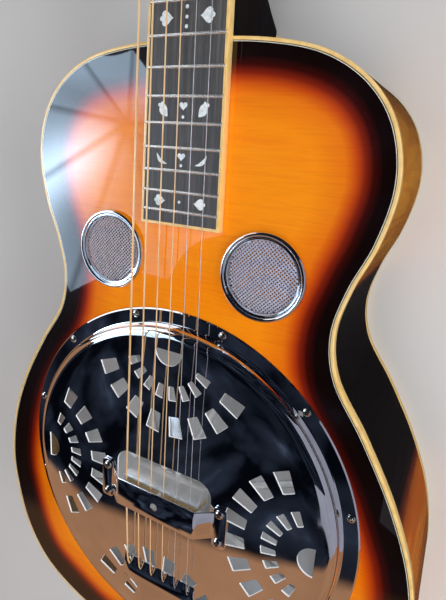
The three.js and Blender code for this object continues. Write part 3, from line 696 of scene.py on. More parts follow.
def dense_plastic(name, colour, roughness=0.3, spread=0.82, cell=90):
    """Bone, ivory-like plastic or polished resin with cloudy grain."""
    s = Surface(name, colour, Roughness=roughness, Subsurface_Weight=0.08, Coat_Weight=0.3)
    s.shader.inputs["Subsurface Radius"].default_value = (0.002, 0.0015, 0.001)
    cloud = s.noise(s.stretched(cell, cell * 0.4, cell), 1, 4, 0.6, 0.6)
    s.feed(s.mix(s.grey(cloud, 0.35, 0.7), colour, dimmed(colour, spread)), "Base Color")
    s.feed(s.grey(cloud, 0.3, 0.7, roughness - 0.05, roughness + 0.1), "Roughness")
    s.bump(cloud, 0.05, 0.0001)
    return s.material


def raw_wood(name, pale, dark, along=(30, 30, 400), gloss=0.0):
    s = Surface(name, Roughness=0.55, Coat_Weight=gloss, Coat_Roughness=0.05)
    rings = s.noise(s.stretched(*along), 1, 4, 0.6, 0.4)
    fibre = s.noise(s.stretched(*(v * 6 for v in along)), 1, 2)
    base = s.ramp(rings, [(0.3, dark), (0.55, pale), (0.8, dimmed(pale, 0.9))])
    s.feed(s.mix(s.grey(fibre, 0.4, 0.75, 0.0, 0.4), base, dark), "Base Color")
    s.feed(s.grey(fibre, 0.3, 0.7, 0.45, 0.65), "Roughness")
    s.bump(fibre, 0.15, 0.0001)
    return s.material


def black_gloss():
    """Lacquer so dark that the wood under it only shows as brown streaks."""
    s = Surface("black_lacquer", **LACQUER)
    grain = s.noise(s.stretched(160, 12, 160), 1, 3)
    s.feed(s.ramp(grain, [(0.35, (0.004, 0.003, 0.003)), (0.75, (0.016, 0.008, 0.006))]), "Base Color")
    s.bump(s.noise(s.coords, 30, 2), 0.03, 0.0004)
    return s.material


SUNBURST = sunburst()
BLACK = black_gloss()
FINISH = {  # a material, and the slot of the pieces that wear it
    "top": (SUNBURST, "sunburst_top"),
    "back": (SUNBURST, "lacquered_maple"),
    "side": (flamed_side(), "lacquered_maple"),
    "binding": (binding_material(), "cream_binding"),
    "white_line": (purfling("purfling_white", (0.78, 0.78, 0.66)), "purfling"),
    "black_line": (purfling("purfling_black", (0.012, 0.012, 0.010)), "purfling"),
    "chrome": (chrome("mirror_chrome"), "mirror_chrome"),
    # the cut edges glow with a painted glint, light of their own
    "glinting_cut_edge": (plated("glinting_cut_edge", (0.92, 0.93, 0.95), 0.3, 0.2, glow=0.4), "mirror_chrome"),
    "cone": (spun_metal("spun_cone", 0, PLATE_Y * MM, (0.80, 0.81, 0.83)), "spun_aluminium"),
    "spider": (cast_metal("cast_spider", (0.74, 0.75, 0.76)), "cast_aluminium"),
    "nickel": (plated("nickel", (0.74, 0.72, 0.68)), "nickel"),
    "screw": (plated("screw_nickel", (0.70, 0.66, 0.56), 0.2), "nickel"),
    "brass": (plated("gear_brass", (0.62, 0.46, 0.2), 0.24), "brass_gear"),
    "steel": (plated("steel_hardware", (0.5, 0.5, 0.52), 0.3), "steel_hardware"),
    "fret": (plated("fret_wire", (0.86, 0.84, 0.80), 0.18, 0.8), "fret_wire"),
    "wire": (plated("screen_wire", (0.78, 0.76, 0.86), 0.26, 0.45, 0.2), "screen_wire"),
    "plain": (plain_wire(), "plain_steel_wire"),
    "ebony": (ebony(), "fretboard_wood"),
    "pearl": (pearl(), "pearl_inlay"),
    "bone": (dense_plastic("nut_bone", (0.80, 0.75, 0.60)), "bone"),
    "button": (dense_plastic("button_resin", (0.80, 0.74, 0.58), 0.25), "button_plastic"),
    "saddle": (raw_wood("saddle_maple", (0.80, 0.60, 0.30), (0.55, 0.36, 0.15), (300, 40, 300), 0.3),
               "saddle_maple"),
    "inner": (raw_wood("inner_wood", (0.50, 0.33, 0.17), (0.30, 0.18, 0.08)), "inner_wood"),
    "black": (BLACK, "black_lacquer"),
    "neck": (BLACK, "neck_lacquer"),
}
for number, winding in enumerate(WINDING_PITCH, 1):
    wrapped = wound_wire(f"bronze_wire_{number}", (1.0, 0.72, 0.42), winding)
    FINISH[f"wound_{number}"] = (wrapped, "bronze_wire")


# ---- Body pieces ----
def step(value, start, softness):
    """0 well below start, 1 well above it."""
    return 1 / (1 + math.exp(min(max((start - value) / softness, -40), 40)))


def burst_width(x, y):
    """How much further the dark edge reaches in at each place: it was sprayed by hand."""
    waist = 4.3 * math.exp(-(((y - 115) / 48) ** 2))
    lower = 3 * step(-y, -60, 18)
    bass = step(-x, 20, 15) * step(y, 150, 10) * (6 + 3 * math.exp(-(((y - 265) / 35) ** 2)))
    bass_lower = 8 * step(-x, 80, 14) * step(-y, -5, 20)
    return waist + lower + bass + bass_lower - 4


def make_soundboard():
    holes = [circle(0, PLATE_Y, WELL_RADIUS, 160)]
    holes += [circle(x, y, 25.2, 64) for x, y in SCREENS.values()]
    mesh = gridded(plate([inset(PURFLING), *holes], TOP - 3.4, TOP), 4)
    co, gap = edge_distance(mesh)
    store(mesh, "burst", [g - burst_width(x, y) for (x, y), g in zip(co, gap)])
    add_piece("top_plate", mesh, "top", ["soundboard"])


def make_back():
    mesh = gridded(plate([inset(BINDING + 0.02)], 0, 3.4), 5)
    co, gap = edge_distance(mesh)
    store(mesh, "burst", [g - burst_width(x, y) * 0.6 for (x, y), g in zip(co, gap)])
    add_piece("back_plate", mesh, "back", ["back_panel"])


def side_burst(y):
    """0 where the side is black, 1 where it is amber."""
    upper = step(y, 181, 5) * step(-y, -303, 4)
    lower = step(-y, -43, 5) * step(y, -138, 6) * (0.6 + 0.4 * step(-y, 30, 25))
    return min(1, upper + lower)


def make_side():
    mesh_rows = []
    steps = 10
    low, high = EDGE_DEPTH - 0.02, TOP - EDGE_DEPTH + 0.02
    outer = [(p.x, p.y) for p in OUTLINE]
    inner = inset(3)
    bm = bmesh.new()
    for line, heights in ((outer, steps), (inner, 1)):
        for k in range(heights + 1):
            z = low + (high - low) * k / heights
            mesh_rows.append([bm.verts.new((x, y, z)) for x, y in line])
    order = [*range(steps + 1), steps + 2, steps + 1, 0]
    skin(bm, [mesh_rows[k] for k in order], caps=False)
    mesh = from_bmesh(bm)
    store(mesh, "burst", [side_burst(v.co.y / MM) for v in mesh.vertices])
    add_piece("side", mesh, "side", ["side_rim"])


def make_edges():
    for name, low, high, nodes in (
        ("top_edge", TOP - EDGE_DEPTH, TOP, ["top_binding"]),
        ("back_edge", 0, EDGE_DEPTH, ["back_binding"]),
    ):
        mesh = plate([inset(0), inset(BINDING)], low, high, 0.35, 2)
        add_piece(name, mesh, "binding", nodes)
    for name, outer, inner, key in (
        ("purfling_black", BINDING - 0.02, 2.5, "black_line"),
        ("purfling_white", 2.5, PURFLING, "white_line"),
    ):
        mesh = plate([inset(outer), inset(inner)], TOP - 2, TOP + 0.02)
        add_piece(name, mesh, key)


def make_inside():
    """The pieces that show only through the holes keep their CAD shape."""
    for node in ("top_lining", "back_lining", "neck_block", "tail_block", "sound_well", "neck_bolt"):
        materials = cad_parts[node].data.materials
        materials.clear()
        materials.append(FINISH["steel" if node == "neck_bolt" else "inner"][0])


# ---- Resonator and coverplate ----
def plate_height(r):
    """Height of the coverplate's upper face over the soundboard, and its slope."""
    if r >= PLATE_FOOT:
        return (1.5, 0.0) if r < FLANGE_EDGE else (1.5 - (r - FLANGE_EDGE) * 0.8, -0.8)
    rs, zs = zip(*PLATE_KNOTS)
    slopes = [0.0]
    for i in range(1, len(rs) - 1):
        a = (zs[i] - zs[i - 1]) / (rs[i] - rs[i - 1])
        b = (zs[i + 1] - zs[i]) / (rs[i + 1] - rs[i])
        slopes.append(0.0 if a * b <= 0 else 2 * a * b / (a + b))
    slopes.append(-4.5)
    i = next((k for k in range(len(rs) - 1) if r <= rs[k + 1]), len(rs) - 2)
    h = rs[i + 1] - rs[i]
    t = (r - rs[i]) / h
    z = ((1 + 2 * t) * (1 - t) ** 2 * zs[i] + t * (1 - t) ** 2 * h * slopes[i]
         + t * t * (3 - 2 * t) * zs[i + 1] + t * t * (t - 1) * h * slopes[i + 1])
    dz = ((6 * t * t - 6 * t) * (zs[i] - zs[i + 1]) / h + (1 - 4 * t + 3 * t * t) * slopes[i]
          + (3 * t * t - 2 * t) * slopes[i + 1])
    return z, dz


def plate_profile():
    rows = [0.001, *range(6, 118, 6), 118, 121, 123, *np.arange(124, 133.5, 0.5), PLATE_FOOT,
            136, 139, 142, FLANGE_EDGE, 143.3, 143.6, PLATE_RADIUS]
    upper = [(r, plate_height(r)[0]) for r in rows]
    lower = [(r, max(z - SHEET, 0.3)) for r, z in upper]
    return [(0, upper[0][1]), *upper[1:], (PLATE_RADIUS, 0.3), *lower[-2:0:-1], (0, upper[0][1] - SHEET)]


def fan_cutters():
    """The fan's holes for one side of the plate, pointing along +X from the plate's centre."""
    loops = []
    for radius, length, near, far in FAN_ROWS:
        for angle in FAN_ANGLES:
            a = math.radians(angle)
            corners = [(radius - length / 2, -near / 2), (radius + length / 2, -far / 2),
                       (radius + length / 2, far / 2), (radius - length / 2, near / 2)]
            loops.append([(x * math.cos(a) - y * math.sin(a), x * math.sin(a) + y * math.cos(a))
                          for x, y in softened(corners, 0.7)])
    moon = [(MOON_RADIUS * math.cos(a), MOON_RADIUS * math.sin(a))
            for a in np.linspace(-math.pi / 2, math.pi / 2, 25)]
    loops.append(moon)
    return [[(FAN_RADIUS - x, -y) for x, y in loop] for loop in loops]


def softened(corners, r):
    """A polygon with each corner rounded by a short curve."""
    made = []
    n = len(corners)
    for i in range(n):
        p = Vector(corners[i])
        a = (Vector(corners[i - 1]) - p).normalized() * r
        b = (Vector(corners[(i + 1) % n]) - p).normalized() * r
        made += [tuple(p + a), tuple(p + (a + b) * 0.29), tuple(p + b)]
    return made


def prism(loop, low, high):
    bm = bmesh.new()
    bottom = [bm.verts.new((x, y, low)) for x, y in loop]
    top = [bm.verts.new((x, y, high)) for x, y in loop]
    bm.faces.new(bottom[::-1])
    bm.faces.new(top)
    for i in range(len(loop)):
        j = (i + 1) % len(loop)
        bm.faces.new((bottom[i], bottom[j], top[j], top[i]))
    return from_bmesh(bm)


def make_coverplate():
    dome = lathe(plate_profile(), 192)
    cutters = [prism(rounded_rect(-42, 42, -22, 27, 12), -3, 25)]
    fan = fan_cutters()
    for k in range(4):
        c, s = round(math.cos(k * math.pi / 2)), round(math.sin(k * math.pi / 2))
        for loop in fan:
            cutters.append(prism([(x * c - y * s, x * s + y * c) for x, y in loop], -3, 25))
    mesh = carved(dome, cutters)
    smooth_dome(mesh)
    mesh.transform(shift(0, PLATE_Y, TOP))
    cover = add_piece("cover", mesh, "chrome", ["coverplate"], sharp=None)
    cover.data.materials.append(FINISH["glinting_cut_edge"][0])
    # the walls of the fan holes get the glowing material: a painted glint on the cut edges
    for face in cover.data.polygons:
        middle = Vector((face.center.x / MM, face.center.y / MM - PLATE_Y)).length
        if abs(face.normal.z) < 0.3 and middle < FAN_RADIUS + 4:
            face.material_index = 1


def smooth_dome(mesh):
    """Gives the pressed face the normals of its true curve, and each cut edge its own."""
    mesh.polygons.foreach_set("use_smooth", [True] * len(mesh.polygons))
    normals = [None] * len(mesh.loops)
    for face in mesh.polygons:
        for loop in face.loop_indices:
            co = mesh.vertices[mesh.loops[loop].vertex_index].co / MM
            r = math.hypot(co.x, co.y)
            middle = math.hypot(face.center.x / MM, face.center.y / MM)
            if middle > PLATE_FOOT:
                slope = 0.0 if r < 142.8 else plate_height(r)[1]
            else:
                slope = plate_height(min(r, PLATE_FOOT - 0.01))[1]
            true = Vector((-slope * co.x / max(r, 0.01), -slope * co.y / max(r, 0.01), 1)).normalized()
            if face.normal.dot(true) > 0.85:
                normals[loop] = true
            elif face.normal.dot(true) < -0.85:
                normals[loop] = -true
            else:
                normals[loop] = face.normal.copy()
    mesh.normals_split_custom_set(normals)


def make_cone():
    knots = [(133, 0.8), (126.5, 0.8), (124.5, -0.2), (112, -7.5), (96, -15.2), (80, -21.5), (66, -25.6),
             (55, -26.6), (45, -24.4), (34, -19.0), (24, -14.0), (14, -11.6), (0, -11)]
    path = smooth_path(knots, 5)
    upper = [(max(p.x, 0), p.y) for p in path]
    lower = [(r, z - 0.5) for r, z in reversed(upper)]
    mesh = lathe([*upper, *lower], 128, (0, PLATE_Y, CONE_SEAT))
    add_piece("cone", mesh, "cone", ["resonator_cone"])


def make_spider():
    foot = CONE_SEAT + 0.8 + 0.3
    side = smooth_path([(10, 99), (30, 99), (60, 96.6), (95, 93), (119, 91), (127, 89.6)], 5)
    bm = bmesh.new()
    for k in range(8):
        a = math.radians(22.5 + 45 * k)
        rows = []
        for p in side:
            half, tall = 2.5, 2.4 if p.x < 100 else 2.0
            low = max(p.y - tall, foot)
            ring = [(p.x, -half, low), (p.x, half, low), (p.x, half, p.y), (p.x, half * 0.4, p.y + 1.4),
                    (p.x, -half * 0.4, p.y + 1.4), (p.x, -half, p.y)]
            rows.append([bm.verts.new((x * math.cos(a) - y * math.sin(a),
                                       x * math.sin(a) + y * math.cos(a) + PLATE_Y, z)) for x, y, z in ring])
        skin(bm, rows)
    legs = from_bmesh(bm)
    ring = lathe([(0, 94.2), (14, 94.2), (15, 95.2), (15, 101), (14, 102), (0, 102)], 48, (0, PLATE_Y, 0))
    face = SADDLE_Y + 2.1
    section = smooth_path([(face + 9, 98.2), (face + 9, 101.5), (face + 6.6, 107), (face + 3.8, 112.6),
                           (face + 1.4, 114.4), (face, 114.4)], 4)
    line = [(SADDLE_Y - 5.5, 98.2), (face + 9, 98.2), *[(p.x, p.y) for p in section[1:]], (face, 99.2),
            (SADDLE_Y - 2.1, 99.2), (SADDLE_Y - 2.1, 104.9), (SADDLE_Y - 5.5, 104.9)]
    stand = Matrix(((0, 0, 1, 0), (1, 0, 0, 0), (0, 1, 0, 0), (0, 0, 0, 1)))
    bar = moved(plate([line], -32.8, 32.8, 0.6, 3), stand)
    mesh = joined(legs, ring, bar)
    add_piece("spider", mesh, "spider", ["spider_bridge"])


def make_saddles():
    for name, side in (("bass", -1), ("treble", 1)):
        top = TOP + SADDLE_HEIGHT - 0.7
        xs = [side * 3.1, side * 32]
        crown = [(side * 31.8, top - 6), (side * 31, top - 2.2), (side * 29.6, top - 0.4)]
        notches = [(string_x(k, "saddle"), r) for k, r in enumerate(STRING_RADIUS)]
        notches = sorted([spot for spot in notches if spot[0] * side > 0], key=lambda spot: -abs(spot[0]))
        line = [(xs[0], 99.2), (xs[1], 99.2), *crown]
        for x, r in notches:
            line += [(x + side * (r + 0.3), top), (x + side * r, top - r * 0.8),
                     (x - side * r, top - r * 0.8), (x - side * (r + 0.3), top)]
        line.append((xs[0], top))
        upright = plate([line if side > 0 else line[::-1]], -1.9, 1.9, 0.25, 2)
        mesh = moved(upright, shift(0, SADDLE_Y, 0) @ ON_EDGE)
        add_piece(f"saddle_{name}_maple", mesh, "saddle", [f"saddle_{name}"])


def palm_section():
    """The rest's line in X and Z: feet, ramps and a flat top, with rounded bends."""
    half = [(55.6, 15), (46.5, 15), (45, 15.4), (43.9, 16.2), (35.9, 22.6), (34.6, 23.5), (33, 24)]
    left = [(-x, z) for x, z in half]
    return [*left, *half[::-1]]


def make_palm_rest():
    line = palm_section()
    normals = []
    for i in range(len(line)):
        a = Vector(line[max(i - 1, 0)])
        b = Vector(line[min(i + 1, len(line) - 1)])
        d = (b - a).normalized()
        normals.append(Vector((-d.y, d.x)))
    under = [(p[0] - n.x * SHEET, p[1] - n.y * SHEET) for p, n in zip(line, normals)]
    loop = [(x, TOP + z) for x, z in [*under, *line[::-1]]]
    strap = plate([loop], -11, 11, 0.5, 3)
    strap = moved(strap, shift(0, -5, 0) @ ON_EDGE)
    for vert in strap.vertices:
        lift = min(max((vert.co.z / MM - TOP - 15.2) / 7, 0), 1)
        vert.co.z -= lift * (vert.co.y / MM + 16) / 22 * REST_TILT * MM
    ears = []
    for s in (-1, 1):
        outline = rounded_rect(s * 50.5 - 5.4, s * 50.5 + 5.4, -22.4, 11.4, 3.4)
        ears.append(plate([outline], TOP + 15 - SHEET, TOP + 15, 0.3, 2))
    access = moved(rod(3, -20, 20, 32), shift(0, SCREW_Y, TOP + 24))
    strap = carved(strap, [access])
    add_piece("hand_rest", joined(strap, *ears), "chrome", ["palm_rest"])


def cross_screw(radius, height):
    """A domed head with a cross recess, its seat at z = 0."""
    profile = [(0, 0), (radius, 0), (radius, height * 0.25)]
    for k in range(1, 9):
        a = math.radians(90 * k / 8)
        profile.append((radius * math.cos(a), height * 0.25 + height * 0.75 * math.sin(a)))
    profile[-1] = (0, height)
    head = lathe(profile, 28)
    w = radius * 0.16
    reach = radius * 0.58
    low, high = height * 0.45, height * 2
    along, across = block(-reach, reach, -w, w, low, high), block(-w, w, -reach, reach, low, high)
    return carved(head, [carved(along, [across], "UNION")])


def make_screws():
    rim = cross_screw(2.7, 1.5)
    for k in range(12):
        a = math.radians(15 + 30 * k)
        spin = Matrix.Rotation(0.7 + k * 1.9, 4, "Z")
        place = shift(RIM_SCREW_RADIUS * math.cos(a), PLATE_Y + RIM_SCREW_RADIUS * math.sin(a), TOP + 1.5)
        add_piece(f"cover_screw_{k + 1:02d}", moved(rim, place @ spin), "screw")
    for k, (x, y) in enumerate(PALM_SCREWS):
        head = moved(cross_screw(3.2, 2.3), shift(x, y, TOP + 15) @ Matrix.Rotation(k * 1.1, 4, "Z"))
        shank = lathe([(0, TOP + 7.5), (1.3, TOP + 8), (1.3, TOP + 15), (0, TOP + 15)], 16, (x, y, 0))
        mesh = joined(head, shank)
        add_piece(f"hand_rest_screw_{k + 1}", mesh, "nickel", [f"palm_rest_screw_{k + 1}"])
    head = lathe([(0, 105.4), (3, 105.4), (3, 107), (2.5, 107.6), (0, 107.6)], 32, (0, SCREW_Y, 0))
    head = carved(head, [block(-5, 5, SCREW_Y - 0.5, SCREW_Y + 0.5, 106.6, 110)])
    shank = lathe([(0, 77), (2.1, 77.4), (2.1, 105.4), (0, 105.4)], 24, (0, SCREW_Y, 0))
    add_piece("spider_screw", joined(head, shank), "nickel", ["tension_screw"])


# ---- Screens ----
def make_screens():
    angles = [math.radians(15 * k) for k in range(13)]
    bead = [(27.3 + 1.7 * math.cos(a), 1.3 + 2.3 * math.sin(a)) for a in angles]
    lip = [(25.4, 1.5), (25.1, 2.2), (24.7, 2.5), (24.2, 2.4), (23.7, 1.7), (23.5, 0.6), (23.5, -4),
           (24.8, -4), (24.8, 0.3), (29.0, 0.3)]
    for name, (x, y) in SCREENS.items():
        mesh = lathe([*bead, *lip], 128, (x, y, TOP))
        add_piece(f"ring_{name}", mesh, "chrome", [f"screen_ring_{name}"])
        add_piece(f"woven_{name}", woven_screen(x, y), "wire", [f"screen_mesh_{name}"], sharp=80)


def woven_screen(cx, cy, pitch=1.85, wire=0.36):
    """A slightly domed plain weave of fine wires, cut to a circle."""
    reach = SCREEN_RADIUS - 0.1
    count = int(reach / pitch)
    verts = []
    faces = []
    angle = math.radians(45)
    c, s = math.cos(angle), math.sin(angle)
    for way in (0, 1):
        for i in range(-count, count + 1):
            offset = i * pitch
            half = math.sqrt(max(reach * reach - offset * offset, 0))
            steps = int(half / pitch)
            if steps < 1:
                continue
            rows = []
            stations = [-half, *[k * pitch for k in range(-steps, steps + 1)], half]
            for k, u in enumerate(stations):
                lift = wire * 0.55 * (1 if (k + i + way) % 2 else -1)
                x, y = (u, offset) if way == 0 else (offset, u)
                dome = TOP - 0.6 + 1.6 * (1 - (x * x + y * y) / (reach * reach))
                ring = []
                for side, up in ((wire, 0), (0, wire), (-wire, 0), (0, -wire)):
                    px, py = (x, y + side) if way == 0 else (x + side, y)
                    ring.append(len(verts))
                    verts.append((cx + px * c - py * s, cy + px * s + py * c, dome + lift + up))
                rows.append(ring)
            for a, b in zip(rows, rows[1:]):
                for n in range(4):
                    m = (n + 1) % 4
                    faces.append((a[n], a[m], b[m], b[n]) if way == 0 else (a[m], a[n], b[n], b[m]))
            faces.append(tuple(rows[0]))
            faces.append(tuple(rows[-1]))
    mesh = bpy.data.meshes.new("weave")
    mesh.from_pydata([Vector(v) * MM for v in verts], [], faces)
    return mesh


# ---- Tailpiece and button ----
def make_tailpiece():
    path = smooth_path([(-70.2, 13.4), (-77, 14.6), (-86, 15.3), (-96, 15.2), (-118, 14.0), (-136, 12.0),
                        (-158, 8.6), (-175, 5.7), (-180.4, 4.0), (-182.7, 0.6), (-182.8, -6),
                        (-182.8, -30), (-182.8, PIN_HEIGHT - 12 - TOP)])
    length = [0.0]
    for a, b in zip(path, path[1:]):
        length.append(length[-1] + (b - a).length)
    total = length[-1]

    def half_width(s):
        if s < 20:
            return 33 - 0.8 * max(0, (1.5 - s) / 1.5) ** 2
        if s < 25:
            t = (s - 20) / 5
            return 33 - 14 * (t * t * (3 - 2 * t))
        tail = 19 - 7 * (s - 25) / (total - 25)
        end = total - s
        return tail if end > 8 else tail - 4 * (1 - math.sqrt(max(0, 1 - ((8 - end) / 8) ** 2)))

    bm = bmesh.new()
    rows = []
    across = 12
    for p, s in zip(path, length):
        w = half_width(s)
        row = []
        for k in range(across + 1):
            v = -1 + 2 * k / across
            roll = 0.5 * abs(v) ** 6 if s < 22 else 0.0
            row.append(bm.verts.new((v * w, p.x, TOP + p.y - roll)))
        rows.append(row)
    skin(bm, rows, closed=False, caps=False)
    thick = thickened(from_bmesh(bm), 1.5)
    slots = []
    for k in range(6):
        x = string_x(k, "tail")
        r = STRING_RADIUS[k] + 0.5
        loop = [(x - r, -66), (x - r, ANCHOR_Y + 2.5), (x - r * 0.5, ANCHOR_Y + 1.6),
                (x + r * 0.5, ANCHOR_Y + 1.6), (x + r, ANCHOR_Y + 2.5), (x + r, -66)]
        slots.append(prism(loop, TOP + 5, TOP + 30))
    hole = moved(rod(3.2, -8, 8, 32), shift(0, -182, PIN_HEIGHT) @ ON_EDGE)
    mesh = bevelled(carved(thick, [*slots, hole]), 0.3, 2, 40)
    add_piece("tail_bracket", mesh, "chrome", ["tailpiece"], sharp=40)


def make_strap_button():
    profile = [(0, -14.5), (2.9, -14.5), (2.9, 3.3), (7.1, 3.3), (7.5, 3.7), (7.5, 4.3), (6.2, 5.0),
               (4.8, 6.4), (4.4, 8.6), (4.7, 10.3), (6.0, 11.6), (7.6, 12.5), (8, 13.2), (8, 14.2), (7.4, 15),
               (0, 15)]
    mesh = moved(lathe(profile, 48), shift(0, -180, PIN_HEIGHT) @ ON_EDGE)
    add_piece("end_button", mesh, "chrome", ["strap_button"])


# ---- Neck and fretboard ----
def board_half(y):
    return NUT_HALF + BOARD_TAPER * (SCALE - y)


def fret_y(n):
    return SCALE * 2 ** (-n / 12)


def tapered(inset_by, start, end):
    a, b = board_half(start) - inset_by, board_half(end) - inset_by
    return [(-a, start), (a, start), (b, end), (-b, end)]


def neck_back(y):
    """Height of the neck's underside, sweeping down into the heel."""
    heel_end = HEEL_Y + 22
    if y <= heel_end:
        return HEEL_FOOT
    if y < HEEL_Y + 62:
        t = (y - heel_end) / 40
        return HEEL_FOOT + (NECK_BACK - HEEL_FOOT) * (1 - (1 - t) ** 3.2)
    if y > SCALE - 12:
        t = min((y - SCALE + 12) / 18, 1)
        return NECK_BACK + 14 * t * t
    return NECK_BACK


def make_neck():
    stations = [HEEL_Y, *np.linspace(HEEL_Y + 1, HEEL_Y + 62, 36),
                *np.linspace(HEEL_Y + 70, SCALE - 12, 14), *np.linspace(SCALE - 10, SCALE + 6, 8)]
    bm = bmesh.new()
    rows = []
    for y in stations:
        w = board_half(y)
        low = neck_back(y)
        corner = 5.0
        line = [(w, TOP), (w, TOP - 8)]
        for k in range(8):
            z = TOP - 8 - (TOP - 8 - low - corner) * (k + 1) / 8
            line.append((min(w, heel_half(z)), z))
        wide = line[-1][0]
        for k in range(1, 7):
            a = math.radians(90 * k / 6)
            line.append((wide - corner + corner * math.cos(a), low + corner - corner * math.sin(a)))
        ring = line + [(-x, z) for x, z in line[::-1]]
        rows.append([bm.verts.new((x, y, z)) for x, z in ring])
    skin(bm, rows)
    shaft = from_bmesh(bm)
    plank = plate([head_outline(), *head_slots()], -HEAD_THICK - VENEER, -VENEER - 0.02, 1.2, 3)
    veneer = plate([head_outline(), *head_slots()], -VENEER, 0, 0.5, 2)
    bores = [moved(rod(3.3, -50, 50, 24), shift(0, y, -POST_DROP) @ CROSSWISE) for y in POST_Y]
    plank = moved(carved(plank, bores), HEAD)
    add_piece("neck_wood", joined(shaft, plank), "neck", ["neck"])
    add_piece("head_veneer", moved(veneer, HEAD), "black", ["headplate"])
    cap = plate([rounded_rect(-16.8, 16.8, HEEL_Y, HEEL_Y + 21.6, 2.5)], HEEL_FOOT - 2.5, HEEL_FOOT, 0.4)
    add_piece("heel_plate", cap, "binding", ["heel_cap"])


def heel_half(z):
    """The heel's half width at a height; above it, more than any neck."""
    rise = min(max((z - HEEL_FOOT) / (66 - HEEL_FOOT), 0), 1)
    return 17 + (28.4 - 17) * rise ** 0.9 + (100 if z > 70 else 0)


HEAD = shift(0, SCALE + 6, TOP) @ Matrix.Rotation(-HEAD_TILT, 4, "X")


def head_outline():
    right = [(NUT_HALF, 0)]
    right += quad((NUT_HALF, 0), (NUT_HALF + 3, 12), (HEAD_HALF, 18), 10)
    right += [(HEAD_HALF, 60), (HEAD_HALF, 120)]
    right += quad((HEAD_HALF, HEAD_LENGTH - 10), (22, HEAD_LENGTH - 8), (14, HEAD_LENGTH), 10)
    right += quad((14, HEAD_LENGTH), (7, HEAD_LENGTH - 4), (0, HEAD_LENGTH - 4), 8)[1:-1]
    left = [(-x, y) for x, y in right[::-1]]
    return right + [(0, HEAD_LENGTH - 4)] + left


def quad(a, b, c, n):
    ts = [k / n for k in range(n + 1)]
    return [((1 - t) ** 2 * a[0] + 2 * t * (1 - t) * b[0] + t * t * c[0],
             (1 - t) ** 2 * a[1] + 2 * t * (1 - t) * b[1] + t * t * c[1]) for t in ts]


def head_slots():
    sides = ((-SLOT_OUT, -SLOT_IN), (SLOT_IN, SLOT_OUT))
    return [rounded_rect(left, right, SLOT_START, SLOT_END, 7) for left, right in sides]


def make_fretboard():
    top = TOP + BOARD_TOP
    board = plate([tapered(BOARD_EDGE, BOARD_END + BOARD_EDGE, SCALE - 0.2)], TOP + 0.02, top - 0.02)
    add_piece("board_wood", board, "ebony", ["fretboard"])
    outer = tapered(0, BOARD_END, SCALE - 0.2)
    inner = tapered(BOARD_EDGE, BOARD_END + BOARD_EDGE, SCALE - 0.2)
    loop = [outer[0], outer[1], outer[2], inner[2], inner[1], inner[0], inner[3], outer[3]]
    edge = plate([loop], TOP + 0.02, top, 0.25, 2)
    add_piece("board_edge", edge, "binding", ["fretboard_binding"])
    for n in range(1, FRETS + 1):
        add_piece(f"fret_{n:02d}", fret(n, top), "fret")


def fret(n, top):
    """Half-round wire across the board, its ends filed at a slant over the binding."""
    y = fret_y(n)
    half = board_half(y) - 1.2
    bm = bmesh.new()
    rows = []
    for x, lift in ((-half, 0.25), (-half + 0.9, 1.0), (half - 0.9, 1.0), (half, 0.25)):
        rows.append([bm.verts.new((x, y + 1.1 * math.cos(a), top - 0.1 + 1.15 * lift * math.sin(a)))
                     for a in [math.pi * k / 8 for k in range(9)]])
    skin(bm, rows)
    return from_bmesh(bm)


def on_figure(x, y, wide, tall):
    """Places a point of a figure by shares of its width and height from its middle."""
    return lambda u, v: (x + wide * u, y + tall * v)


def heart_line(count=40):
    """A heart one unit wide and about one tall, as (across, along) from its middle to its point."""
    line = []
    for t in [2 * math.pi * k / count for k in range(count)]:
        along = 13 * math.cos(t) - 5 * math.cos(2 * t) - 2 * math.cos(3 * t) - math.cos(4 * t)
        line.append((math.sin(t) ** 3 / 2, (along + 2) / 30))
    return line


def spade(x, y, wide, tall, point):
    """A spade lying on its side: heart-shaped body, point inwards, and a round foot."""
    at = on_figure(x, y, wide * point, tall)
    body = [at(-0.86 * along, across) for across, along in heart_line()]
    foot = circle(*at(-0.40, 0), tall * 0.17, 20)
    return [body, foot, [at(-0.1, -0.12), at(-0.4, -0.10), at(-0.4, 0.10), at(-0.1, 0.12)]]


def heart(x, y, wide, tall):
    at = on_figure(x, y, wide, tall)
    return [[at(*spot) for spot in heart_line()]]


def leaf(x, y, wide, tall, side):
    """A lobed leaf leaning out, its tip towards the body and the middle."""
    at = on_figure(x, y, wide * side, tall)
    tip, crown, belly = at(-0.42, -0.5), at(0.1, 0.42), at(0.2, -0.34)
    body = quad(tip, at(-0.45, 0.45), crown, 10) + quad(crown, at(0.62, 0.05), belly, 10)
    body += quad(belly, at(0, -0.5), tip, 8)
    return [body, circle(*at(0.36, 0.34), wide * 0.15, 18), circle(*at(0.12, 0.46), wide * 0.13, 18)]


def crescent(x, y, wide, tall, side):
    """A slender curved leaf, high at the outside."""
    at = on_figure(x, y, wide * side, tall)
    high, low = at(0.5, 0.5), at(-0.5, -0.42)
    outer = quad(high, at(0.52, -0.62), low, 14)
    inner = quad(low, at(0.12, -0.12), high, 14)
    return [outer + inner[1:-1]]


